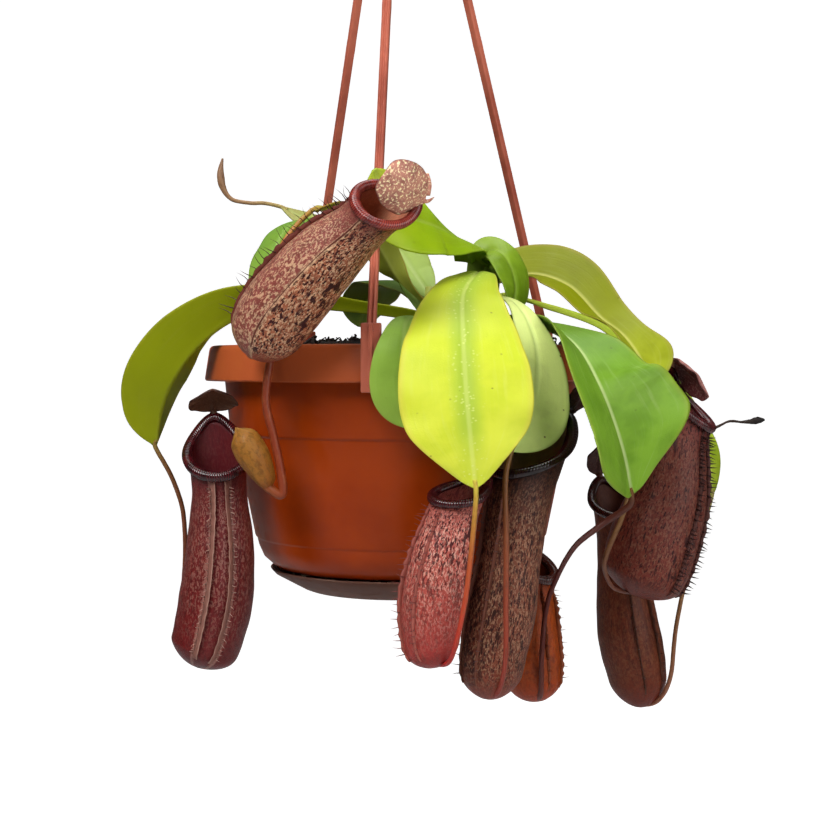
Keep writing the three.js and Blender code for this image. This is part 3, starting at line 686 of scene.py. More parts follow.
@dataclass
class Leaf:
    """One leaf: its midrib, the way it faces, its outline and its finish."""

    name: str
    midrib: Rows
    faces: Rows
    half: float
    stalk: float
    skew: float
    full: float
    fold: float
    arch: float
    finish: LeafFinish | LidFinish
    edge: Motion = Motion.EASY
    waves: float = 2.6
    phase: float = 0.0
    drawn: float = 0.0
    tail: float = 0.0

    ROWS = 150
    COLUMNS = 36
    THICK = 0.8
    TIP = 0.9
    CHANNEL = (0.45, 0.8)
    RIB = (1.0, 1.1)

    def width(self, t: Array) -> Array:
        """Half the width: a sine swelling whose place skew sets, never under the stalk or the tip.

        The tip is drawn in by a share, and a leaf can swell again by its tail in millimetres before the tip.

        Args:
            t: places along the leaf.

        Returns:
            Half the width in millimetres at each.
        """
        swell = self.half * np.sin(np.pi * np.minimum(t, 0.9995) ** self.skew) ** self.full
        swell = swell * (1 - self.drawn * smooth((t - 0.78) / 0.22)) + self.tail * bell(t - 0.83, 0.1)
        stalk = self.stalk * (1 - smooth((t - 0.5) / 0.4))
        least = np.maximum(stalk, self.TIP)
        return (swell**6 + least**6) ** (1 / 6)

    def surface(self, t: Array, u: Array, lift: Array | float = 0.0) -> Array:
        """The blade's middle surface.

        A point is the midrib at t, plus u half widths sideways, plus along the facing: a V that fold sets,
        rounded at the midrib, less an arch, plus a wave that grows with the square of u.

        Args:
            t: places along the leaf, as a column.
            u: places across it, from -1 to 1, as a row.
            lift: millimetres to move along the facing.

        Returns:
            Points of rows x columns x 3.
        """
        flat = t[:, 0]
        centre = spline(self.midrib, flat)
        face, side = across(heading(self.midrib, flat), self.facing(flat))
        width = self.width(flat)[:, None]
        bend = self.fold * (np.sqrt(u * u + 0.0025) - 0.05) - self.arch * u * u
        calm = smooth(t / 0.25) * smooth((1 - t) / 0.1)
        wave = self.edge.value * u * u * calm * (
            np.sin(2 * np.pi * (self.waves * t + self.phase) + 0.9 * np.sign(u))
            + 0.4 * np.sin(2 * np.pi * (2.3 * self.waves * t + 2 * self.phase) - 1.3 * np.sign(u))
        )
        rise = width * bend + wave * np.minimum(width / 12, 1.2) + lift
        return moved(centre[:, None], (side[:, None], u * width), (face[:, None], rise))

    def facing(self, t: Array) -> Array:
        """The way the upper side faces.

        Args:
            t: places along the leaf.

        Returns:
            A direction at each, straight between the listed ones.
        """
        listed = unit(np.asarray(self.faces, dtype=float))
        at = t * (len(listed) - 1)
        return np.stack([np.interp(at, np.arange(len(listed)), listed[:, k]) for k in range(3)], -1)

    def shell(self, sheet: Sheet, t: Array, u: Array, above: Array, below: Array, length: float) -> None:
        """Adds the blade's two faces, and closes them along their four edges.

        Args:
            sheet: the mesh that takes them.
            t: places along the blade, as a column.
            u: places across it, as a row.
            above: how far the upper face stands off the middle surface.
            below: how far the lower one does.
            length: the blade's length in millimetres, for its markings.
        """
        marks = {"along": t, "off": u * self.width(t[:, 0])[:, None], "run": t * length, "side": u, "under": 0 * t}
        top, low = self.surface(t, u, above), self.surface(t, u, -below)
        sheet.grid(top, marks)
        sheet.grid(low, {**marks, "under": 0 * t + 1})
        full = {k: np.broadcast_to(v, top.shape[:2]) for k, v in marks.items()}
        for cut, axis in ((np.s_[:, :1], 1), (np.s_[:, -1:], 1), (np.s_[:1], 0), (np.s_[-1:], 0)):
            part = {k: v[cut].repeat(2, axis) for k, v in full.items()}
            sheet.grid(np.concatenate([low[cut], top[cut]], axis), part)

    def build(self) -> None:
        """Makes the blade, with a channel above and a rib below the midrib, each a bell across it."""
        t = np.linspace(0, 1, self.ROWS + 1)[:, None]
        even = np.linspace(-1, 1, self.COLUMNS + 1)[None, :]
        u = 0.35 * np.sin(even * np.pi / 2) + 0.65 * even
        width = self.width(t[:, 0])[:, None]
        thin = self.THICK * (0.5 - 0.22 * u**6)
        wide = smooth((width - self.TIP) / 4)
        (deep, channel), (high, rib) = self.CHANNEL, self.RIB
        above = thin - deep * bell(u * width, channel) * wide
        below = thin + high * bell(u * width, rib) * (1 - 0.6 * t) * wide
        sheet = Sheet()
        self.shell(sheet, t, u, above, below, length(self.midrib, 200))
        node = f"leaf_{self.name}"
        sheet.piece(f"{node}_blade", self.finish.material(f"{node}_green"), node)


def tube(sheet: Sheet, points: Array | Rows, radii: Row, sides: int, steps: int, steep: bool = False,
         knobs: float = 0.0, seed: float = 0.0) -> None:
    """Adds a round strand along a curve: circles square to it, whose facing is carried from one to the next.

    Args:
        sheet: the mesh that takes it.
        points: the curve's points.
        radii: the radius along it.
        sides: points round each circle.
        steps: stretches along the curve.
        steep: the strand starts upright.
        knobs: how far the radius swells and shrinks by chance, as a share.
        seed: sets that chance.
    """
    t = np.linspace(0, 1, steps + 1)
    centre, tangent = spline(points, t), heading(points, t)
    face = np.array([1.0, 0.0, 0.0] if steep or abs(tangent[0][2]) > 0.9 else [0.0, 0.0, 1.0])
    faces = []
    for ahead in tangent:
        face = unit(face - face.dot(ahead) * ahead)
        faces.append(face)
    face = np.array(faces)
    side = np.cross(tangent, face)
    turn = circle(sides)[None, :]
    run = np.concatenate([[0], np.cumsum(np.linalg.norm(np.diff(centre, axis=0), axis=1))])[:, None]
    radius = values(radii, t)[:, None] * (1 + knobs * ripple(turn, run * 0.8, seed))
    ring = moved(centre[:, None], (around(turn, face[:, None], side[:, None]), radius))
    ring = np.concatenate([centre[:1, None].repeat(sides, 1), ring, centre[-1:, None].repeat(sides, 1)])
    grow = np.concatenate([t[:1], t, t[-1:]])[:, None]
    run = np.concatenate([run[:1], run, run[-1:]])
    sheet.grid(ring, {"along": grow, "run": run, "round": np.cos(turn) * radii[0], "deep": np.sin(turn) * radii[0]},
               round_u=True)


@dataclass
class Lid:
    """A pitcher's lid: its length, half width, how far it is raised and rolled, and its seat."""

    length: float
    half: float
    lift: float
    roll: float
    seat: float
    cup: float = 0.25
    blunt: float = 0.5
    nub: Rows | None = None


@dataclass
class Pitcher:
    """One pitcher: its axis and girth, its mouth, wings and lid, and their finishes."""

    name: str
    axis: Rows
    girth: Row
    front: Row
    slant: float
    neck: float
    spines: tuple[int, float]
    lid: Lid | None
    finish: PitcherFinish
    collar: CollarFinish | None = None
    lid_finish: LidFinish | None = None
    wing: LeafFinish | None = None
    bristle: Tone = (60, 30, 25)
    closed: bool = False
    seed: float = 0.0
    wing_turn: float = 0.36
    fins: tuple[float, float] = (1.0, 1.0)
    roll_size: float = 0.85
    splay: float = 0.35
    barb: float = 0.22

    WALL = 1.0
    FLOOR = 0.14
    ROUND = 0.16
    WING_HIGH = 1.6
    WING_THICK = 0.45
    ROWS = 81
    COLUMNS = 72
    ROLL = ((-1.75, -0.5), (-1.9, 0.9), (-1.1, 2.0), (0.5, 2.55), (1.9, 2.0), (2.55, 0.7), (2.4, -0.8), (1.6, -0.3),
            (0.65, 0.35), (-0.2, 0.45), (-1.0, -0.3), (-1.75, -0.5))

    def frame(self, t: Array) -> tuple[Array, Array, Array]:
        """The directions that the pitcher has along its axis.

        Args:
            t: places along the pitcher.

        Returns:
            Its up, front and side at each.
        """
        up = heading(self.axis, t)
        front, side = across(up, np.broadcast_to(np.array(self.front, dtype=float), up.shape))
        return up, front, side

    def skin(self, t: Array, turn: Array, inset: Array | float = 0.0) -> Array:
        """The pitcher's skin.

        A point is the axis at t, plus the girth outwards at that turn, plus a rise along the axis that slants
        the mouth up towards the back and draws it up into a neck there.

        Args:
            t: places along the pitcher, 0 at its base.
            turn: angles round it, 0 on its front, of the same shape.
            inset: millimetres in from the skin.

        Returns:
            One point for each t and turn.
        """
        t, turn = np.broadcast_arrays(t, turn)
        up, front, side = self.frame(t)
        rounded = np.sqrt(1 - (1 - np.minimum(t / self.ROUND, 1)) ** 2)
        top = np.sqrt(np.maximum(1 - smooth((t - 0.7) / 0.3), 0.0)) if self.closed else 1.0
        radius = values(self.girth, t) * rounded * top - inset
        rise = smooth((t - 0.55) / 0.45)
        slant = math.tan(math.radians(self.slant)) * rise
        from_back = np.pi - np.abs(np.arctan2(np.sin(turn), np.cos(turn)))
        lift = -slant * radius * np.cos(turn) + self.neck * rise * rise * np.exp(-(from_back**2) / 0.5)
        return moved(spline(self.axis, t), (around(turn, front, side), radius), (up, lift))

    def build(self) -> None:
        """Makes the cup, its wings, collar and lid."""
        t = (1 - np.cos(np.linspace(0, 1, self.ROWS) * np.pi / 2))[:, None] ** 0.8
        turn = np.linspace(-np.pi, np.pi, self.COLUMNS, endpoint=False)[None, :]
        tall = length(self.axis, 100)
        run = t * tall
        girth = float(np.mean(self.girth))
        seam = 0.35 * bell(turn, 0.09) + 0.25 * bell(np.abs(turn) - 2.2, 0.3)
        swell = 0.28 * ripple(2 * np.sin(turn) + self.seed, run * 0.16, self.seed) * smooth(t / 0.2) + seam * 0.6
        marks = {"along": t, "round": np.sin(turn) * girth, "deep": np.cos(turn) * girth, "run": run,
                 "well": 0 * t, "front": smooth((self.wing_turn + 0.06 - np.abs(turn)) / 0.12)}
        sheet = Sheet()
        sheet.grid(self.skin(t, turn, -swell * smooth((1 - t) / 0.12)), marks, round_u=True)
        if not self.closed:
            deep = np.linspace(1, self.FLOOR, 40)[:, None]
            inner = self.skin(deep, turn, self.WALL)
            well = {"along": deep, "run": deep * tall, "well": 0.5 + 0.5 * smooth((1 - deep) / 0.2)}
            sheet.grid(inner, {**marks, **well}, round_u=True)
            lip = np.stack([self.skin(t[-1:], turn)[0], inner[0]])
            sheet.grid(lip, {"along": np.ones((2, 1)), "well": np.ones((2, 1))}, round_u=True)
            bed = np.stack([inner[-1], np.broadcast_to(inner[-1].mean(0), inner[-1].shape)])
            sheet.grid(bed, {"along": np.zeros((2, 1)), "well": np.ones((2, 1))}, round_u=True)
        node = f"pitcher_{self.name}"
        sheet.piece(f"{node}_skin", self.finish.material(f"{node}_skin"), node)
        if self.closed:
            return
        self.build_wings()
        self.build_collar()
        self.build_lid()

    def build_wings(self) -> None:
        """Two thin fins down the front with frayed edges, and bristles that stand on them."""
        sheet = Sheet()
        t = np.linspace(0.1, 0.96, 110)
        swell = np.sin(np.pi * (0.06 + 0.88 * (t - 0.1) / 0.86)) ** 0.6
        for sign, share in zip((-1, 1), self.fins):
            fray = 1 + 0.28 * ripple(t * 60, t * 31, self.seed + sign) * share
            high = (self.WING_HIGH * share * swell * fray)[:, None]
            foot = self.skin(t, np.full_like(t, sign * self.wing_turn), 0.5)
            out, over = self.wing_frame(t, sign)
            steps = np.array([0.0, 0.5, 1.0, 1.0, 0.5, 0.0])[None, :]
            face = np.array([1.0, 1.0, 1.0, -1.0, -1.0, -1.0])[None, :]
            slide = self.splay * sign * steps**2 + face * self.WING_THICK * (1 / 2 - steps / 3)
            fin = moved(foot[:, None], (out[:, None], (high + 0.5) * steps), (over[:, None], slide))
            ends = [fin[i : i + 1].mean(1, keepdims=True).repeat(6, 1) for i in (0, len(t) - 1)]
            grow = np.concatenate([t[:1], t, t[-1:]])[:, None]
            marks = {"along": grow, "side": steps, "off": 3 + 0 * steps, "run": grow * length(self.axis, 100)}
            sheet.grid(np.concatenate([ends[0], fin, ends[1]]), marks, round_u=True)
        sheet.piece(f"pitcher_{self.name}_wings", self.wing.material(f"wing_{self.name}"))
        hairs = Sheet()
        count, reach = self.spines
        k = np.arange(count)
        at = 0.13 + 0.8 * (k + 0.5) / count
        up = self.frame(at)[0]
        for sign in (sign for sign, share in zip((-1, 1), self.fins) if share > 0.5):
            out, over = self.wing_frame(at, sign)
            foot = self.skin(at, np.full_like(at, sign * self.wing_turn))
            tall = self.WING_HIGH + reach * (0.55 + 0.45 * np.abs(np.sin(2.4 * k + sign)))
            sway = 0.35 * reach * np.sin(5.0 * k + self.seed + sign)
            bend = moved(foot, (out, tall * 0.5), (up, sway * 0.3), (over, 0.25 * reach * np.cos(3.7 * k)))
            for way in np.stack([foot, bend, moved(foot, (out, tall), (up, sway))], 1):
                tube(hairs, way, (self.barb, self.barb * 0.6, 0.03), 4, 4)
        tint = StrandFinish(((0.0, self.bristle), (1.0, self.bristle)), self.bristle)
        hairs.piece(f"pitcher_{self.name}_bristles", tint.material(f"bristle_{self.name}"))

    def wing_frame(self, t: Array, sign: int) -> tuple[Array, Array]:
        """How a wing stands.

        Args:
            t: places along the pitcher.
            sign: -1 for the left wing, 1 for the right.

        Returns:
            The way it stands out from the skin, and the way across it.
        """
        up, front, side = self.frame(t)
        turn = sign * self.wing_turn
        out = math.cos(turn) * front + math.sin(turn) * side
        return out, np.cross(out, up)

    def mouth(self, turn: Array) -> tuple[Array, Array, Array]:
        """The mouth's edge.

        Args:
            turn: angles round the pitcher.

        Returns:
            The edge's points, the way away from it in the mouth's plane, and the way over it.
        """
        one = np.ones_like(turn)
        edge = self.skin(one, turn)
        away = unit(edge - self.skin(one, turn, self.WALL))
        up = self.frame(one)[0]
        return edge, away, unit(up - (up * away).sum(-1, keepdims=True) * away)

    def build_collar(self) -> None:
        """The ribbed collar: a closed roll carried round the mouth, with a sine of ribs square to it."""
        ribs = int(2.6 * np.mean(self.girth) * math.pi)
        turn = np.linspace(-np.pi, np.pi, ribs * 5, endpoint=False)
        edge, away, over = self.mouth(turn)
        v = np.linspace(0, 1, 26, endpoint=False)
        section = spline(self.ROLL, v)
        lean = unit(section - np.array([0.3, 0.8]))
        crest = 0.5 + 0.5 * np.cos(ribs * turn)[:, None] * np.ones_like(v)[None, :]
        flute = 0.1 * crest * smooth((section[:, 1] + 0.2) / 0.8)[None, :]
        flare = self.roll_size * (1 + 0.1 * ripple(1.2 * turn, 0 * turn, self.seed)[:, None])
        a = section[None, :, 0] * flare + lean[None, :, 0] * flute
        o = section[None, :, 1] * flare + lean[None, :, 1] * flute
        p = moved(edge[:, None], (away[:, None], a), (over[:, None], o))
        girth = float(np.mean(self.girth))
        sheet = Sheet()
        sheet.grid(p, {"rib": crest, "round": np.sin(turn)[:, None] * girth, "run": np.cos(turn)[:, None] * girth},
                   round_u=True, round_v=True)
        node = f"rim_{self.name}"
        sheet.piece(f"{node}_ribbed", self.collar.material(f"{node}_skin"), node)

    def build_lid(self) -> None:
        """The lid: a cupped, waved blade on a short neck, with a spur behind it."""
        at, back = np.array([1.0]), np.array([np.pi])
        point = self.skin(at, back)[0]
        up, front, _ = (v[0] for v in self.frame(at))
        lift = math.radians(self.lid.lift)
        ahead = front * math.cos(lift) + up * math.sin(lift)
        top = up * math.cos(lift) - front * math.sin(lift)
        roll = math.radians(self.lid.roll)
        top = top * math.cos(roll) + np.cross(ahead, top) * math.sin(roll)
        base = point + up * self.lid.seat - front * 0.4 + top * 0.8
        way = [base + ahead * s * self.lid.length + top * self.lid.length * 0.35 * s * (1 - s)
               for s in (0.0, 0.3, 0.65, 1.0)]
        node = f"lid_{self.name}"
        blade = Leaf(node, tuple(map(tuple, way)), (tuple(top),), self.lid.half, 1.6, 1.0,
                     self.lid.blunt, 0.0, self.lid.cup, self.lid_finish, Motion.EASY, 1.6, self.seed)
        t = np.linspace(0, 1, 61)[:, None]
        u = np.linspace(-1, 1, 41)[None, :]
        thin = 0.45 - 0.2 * u**6
        keel = 0.7 * bell(u * blade.width(t[:, 0])[:, None], 0.7) * (1 - t)
        sheet = Sheet()
        blade.shell(sheet, t, u, thin + keel * 0.2, thin + keel, self.lid.length)
        spur = [base, base - front * 1.4 + up * 1.0, base - front * 1.8 + up * 3.4]
        tube(sheet, np.array(spur), (0.75, 0.6, 0.12), 7, 10)
        stay = [point + up * 1.2 - front * 0.2, point + up * (1.2 + self.lid.seat * 0.5) - front * 0.3, base]
        tube(sheet, np.array(stay), (1.5, 1.3, 1.2), 10, 8)
        if self.lid.nub is not None:
            tube(sheet, self.lid.nub, (1.0, 1.15, 0.7), 12, 12, True)
        sheet.piece(f"{node}_blade", self.lid_finish.material(f"{node}_skin"), node)


@dataclass
class Strand:
    """A tendril from the tip of the leaf of its name to the base of that pitcher, or to a bud."""

    name: str
    way: Rows
    radii: Row
    finish: StrandFinish

    THIN = 0.8

    def build(self) -> None:
        """Makes the strand, drawn out of the leaf's tip and widened into the pitcher's base."""
        end = np.array([1.0])
        midrib, pitcher = LEAVES[self.name].midrib, PITCHERS.get(self.name)
        tip, ahead = spline(midrib, end)[0], heading(midrib, end)[0]
        points = [tip - ahead * 2.5, tip + ahead * 0.7, *np.array(self.way)]
        radii = list(self.radii)
        if pitcher:
            pole, up = spline(pitcher.axis, 0 * end)[0], heading(pitcher.axis, 0 * end)[0]
            points += [pole + up * 1.2, pole + up * 3.6]
            radii += [radii[-1] * 1.4]
        radii = [0.85] + [r * self.THIN for r in radii[1:]]
        sheet = Sheet()
        tube(sheet, np.array(points), tuple(radii), 14, 150, knobs=0.05, seed=len(self.name))
        node = f"tendril_{self.name}"
        sheet.piece(f"{node}_strand", self.finish.material(f"{node}_skin"), node)


@dataclass
class Pot:
    """The moulded pot: radii and drops below the rim, as in the solid."""

    lip: float = 73.6
    skirt: float = 75.4
    skirt_drop: float = 13.2
    neck: float = 67.8
    band: float = 65.9
    band_drop: float = 33.0
    step: float = 1.1
    belly: float = 61.0
    belly_drop: float = 50.0
    ring: float = 55.8
    ring_drop: float = 73.0
    foot: float = 49.6
    hole: float = 5.2
    # The last tone is the skirt's paler band: partly a pinker tone, partly a painted highlight.
    finish: Moulded = Moulded((158, 57, 6), (138, 45, 4), (180, 96, 56), 0.3, 0.04, (172, 84, 46))

    MOULD_LINES = (-22.0, -52.0, 38.0, 150.0)

    def profile(self) -> Array:
        """Radius and height pairs from the hole in the foot, up the outside, over the rim and down inside.

        Returns:
            Rows of radius and height in millimetres.
        """
        w, ring, low, step = WALL, self.ring, self.ring_drop, self.band - self.step
        return np.array([
            (self.hole, FOOT), (self.foot - 3, FOOT), (self.foot - 1, FOOT + 0.15), (self.foot, FOOT + 0.9),
            (ring - 2.6, FOOT + 4.2), (ring - 0.7, -low - 3), (ring - 0.1, -low - 0.5), (ring, -low - 0.2),
            (ring + 0.5, -low + 0.3), (ring + 0.7, -low + 0.7), (self.belly, -self.belly_drop),
            (step - 0.1, -self.band_drop - 1.2), (step, -self.band_drop - 0.7),
            (self.band - 0.15, -self.band_drop + 0.1), (self.band, -self.band_drop + 0.5),
            (self.neck, -self.skirt_drop - 0.6), (self.neck + 0.4, -2.8), (self.lip - 1.7, -2.8),
            (self.skirt - 1.5, -self.skirt_drop), (self.skirt - 0.5, -self.skirt_drop - 0.1),
            (self.skirt, -self.skirt_drop + 0.5), (self.skirt - 0.1, -self.skirt_drop + 1.4), (self.lip + 0.2, -2.2),
            (self.lip - 0.1, -1.0), (self.lip - 0.8, -0.25), (self.lip - 1.8, 0), (self.neck + 0.9 - w, 0),
            (self.neck + 0.1 - w, -0.3), (self.neck - 0.4 - w, -1.1), (self.neck - w, -self.skirt_drop),
            (self.band - w, -self.band_drop), (self.belly - w, -self.belly_drop), (ring - w, -low),
            (self.foot - 2.2, FOOT + w + 1.6), (self.foot - 5, FOOT + w), (self.hole, FOOT + w), (self.hole, FOOT),
        ])

    def build(self) -> None:
        """Turns the profile round the axis, with four faint mould lines down its wall."""
        turned = lathe(self.profile(), 168)
        angle = np.degrees(np.arctan2(turned[..., 0], -turned[..., 1]))
        low = smooth((-14 - turned[..., 2]) / 2) * (np.hypot(turned[..., 0], turned[..., 1]) > 48)
        line = sum(bell(angle - at, 0.7) for at in self.MOULD_LINES)
        turned[..., :2] *= (1 + 0.0022 * line * low)[..., None]
        sheet = Sheet()
        sheet.grid(turned, {}, round_u=True)
        sheet.piece("pot_shell", self.finish.material("pot_plastic"), "pot", 32)


def lathe(profile: Array, sides: int) -> Array:
    """Turns a profile round the vertical axis, counter-clockwise from above.

    Args:
        profile: rows of radius and height.
        sides: how many points make a full turn.

    Returns:
        Points of rows x sides x 3.
    """
    turn = circle(sides)
    r, z = profile[:, :1], profile[:, 1:]
    return np.stack([r * np.cos(turn), r * np.sin(turn), z + 0 * turn[None, :]], -1)


@dataclass
class Saucer:
    """The clip-on saucer, with the pin that holds it in the pot's middle hole."""

    rim: float = 50.6
    top: float = -84.9
    base: float = 38.0
    bottom: float = -93.6
    wall: float = 1.3
    finish: Moulded = Moulded((112, 68, 52), (86, 52, 40), (150, 128, 112), 0.5, 0.4)

    def build(self) -> None:
        """Turns the saucer's profile round the axis."""
        w, base, low = self.wall, self.base, self.bottom
        under, over = FOOT - PLAY, FOOT + WALL + PLAY
        profile = np.array([
            (0.001, low), (base - 3, low), (base - 1, low + 0.2),
            (base + 0.6, low + 0.8), (self.rim - 1.6, self.top - 2.2), (self.rim - 0.3, self.top - 0.8),
            (self.rim, self.top - 0.35), (self.rim - 0.5, self.top), (self.rim - 1.2, self.top - 0.2),
            (self.rim - 3.2, self.top - 2.4), (base - 0.6, low + w + 0.4), (base - 2.4, low + w),
            (10.0, low + w), (10.0, under), (4.6, under), (4.6, over), (6.4, over), (4.6, FOOT + 4.4),
            (0.001, FOOT + 4.4),
        ])
        sheet = Sheet()
        sheet.grid(lathe(profile, 128), {}, round_u=True)
        sheet.piece("saucer_shell", self.finish.material("saucer_plastic"), "saucer", 32)


@dataclass
class Hanger:
    """Three ridged rods with clips on the pot's skirt, and the hub and hook in which they meet."""

    angles: dict[str, float] = field(default_factory=lambda: {"front": -7.5, "right": 128.0, "left": -148.5})
    clip_radius: float = 75.9
    clip_thick: float = 2.3
    clip_width: float = 7.0
    clip_top: float = 7.0
    clip_bottom: float = -16.6
    lip_depth: float = 4.6
    hub_top: float = 230.0
    finish: Moulded = Moulded((186, 102, 80), (138, 64, 50), (206, 148, 126), 0.33, 0.2)

    SECTION = ((-1.6, -0.9), (-1.5, 0.9), (-1.15, 1.35), (-0.75, 1.6), (-0.35, 1.2), (0.0, 0.95), (0.35, 1.2),
               (0.75, 1.6), (1.15, 1.35), (1.5, 0.9), (1.6, -0.9), (1.2, -1.25), (-1.2, -1.25), (-1.6, -0.9))
    HUB = ((0.001, 222), (7, 222), (8, 222.4), (8.5, 223.4), (8.4, 225), (7.4, 228), (6.6, 229.2), (5.4, 230),
           (0.001, 230))
    NUBS = (0.52, 0.83)
    BEND = 11.0
    WIRE = (2, 1.9, 1.85, 1.8)

    def out(self, degrees: float) -> Array:
        """The way outwards at an angle from the front, to the right."""
        turn = math.radians(degrees)
        return np.array([math.sin(turn), -math.cos(turn), 0.0])

    def slab(self, sheet: Sheet, out: Array, low: Row, high: Row, round_: float = 0.45) -> None:
        """A block with rounded edges: an eighth-power oval carried up, with its ends drawn in.

        Args:
            sheet: the mesh that takes it.
            out: the way outwards from the pot's axis.
            low: the lower corner, as sideways, outwards and up.
            high: the upper corner.
            round_: how far its edges are rounded.
        """
        side = np.array([-out[1], out[0], 0.0])
        middle = (np.array(low) + np.array(high)) / 2
        half = (np.array(high) - np.array(low)) / 2
        turn = circle(40)
        c, s = np.cos(turn), np.sin(turn)
        oval = (np.abs(c) ** 8 + np.abs(s) ** 8) ** (-1 / 8)
        levels = np.array([-1, -1, -0.985, -0.94, 0.94, 0.985, 1, 1])
        pull = np.array([10.0, round_, round_ * 0.3, 0, 0, round_ * 0.3, round_, 10.0])
        a = np.maximum(half[0] - pull, 0.0)[:, None] * (c * oval)[None, :]
        b = np.maximum(half[1] - pull, 0.0)[:, None] * (s * oval)[None, :]
        z = middle[2] + half[2] * levels
        p = moved(np.zeros(3), (side, middle[0] + a), (out, middle[1] + b), (UP, z[:, None]))
        sheet.grid(p, {}, round_u=True)

    def build(self) -> None:
        """Makes the arms, the hub and the hook."""
        for name, degrees in self.angles.items():
            self.build_arm(name, self.out(degrees))
        self.build_hook()

    def build_arm(self, name: str, out: Array) -> None:
        """One rod, two ridges with a groove between them on its outer side, and its clip.

        Args:
            name: the arm's name.
            out: the way it stands from the pot's axis.
        """
        half, r = self.clip_width / 2, self.clip_radius
        sheet = Sheet()
        self.slab(sheet, out, (-half, r, self.clip_bottom), (half, r + self.clip_thick, self.clip_top))
        self.slab(sheet, out, (-half, r - self.lip_depth, self.clip_bottom), (half, r + 0.5, -13.55), 0.25)
        front = r + self.clip_thick + 0.7
        self.slab(sheet, out, (-0.8, r + 1, self.clip_bottom + 2), (0.8, front, self.clip_top), 0.3)
        foot = out * (r + self.clip_thick / 2) + np.array([0, 0, self.clip_top - 3])
        head = out * 5 + np.array([0, 0, self.hub_top - 3])
        ahead = unit(head - foot)
        face, side = across(ahead[None], out[None])
        ring = spline(self.SECTION, np.linspace(0, 1, 52, endpoint=False))
        t = np.concatenate([[0], np.linspace(0, 1, 60), [1]])
        size = np.ones_like(t)
        size[0] = size[-1] = 0.0
        for nub in self.NUBS:
            size *= 1 + 0.28 * bell(t - nub, 0.004)
        centre = foot + (head - foot) * t[:, None]
        p = moved(centre[:, None], (side[0], ring[:, 0] * size[:, None]), (face[0], ring[:, 1] * size[:, None]))
        sheet.grid(p, {}, round_u=True)
        plastic = self.finish.material("hanger_plastic")
        sheet.piece(f"hanger_arm_{name}_rod", plastic, f"hanger_arm_{name}", 45)

    def build_hook(self) -> None:
        """A turned hub with a bent hook of round section on top."""
        sheet = Sheet()
        sheet.grid(lathe(np.array(self.HUB), 72), {}, round_u=True)
        centre = RIM_DROP - self.BEND + 2
        bend = [(self.BEND * math.cos(a), 0, centre + self.BEND * math.sin(a))
                for a in map(math.radians, (-50, -20, 15, 50, 90, 130, 165, 205))]
        tube(sheet, np.array([(0, 0, 227), (0, 0, 234), (1.5, 0, 239), *bend]), self.WIRE, 24, 120, True)
        sheet.piece("hanger_hook_bent", self.finish.material("hook_plastic"), "hanger_hook", 50)


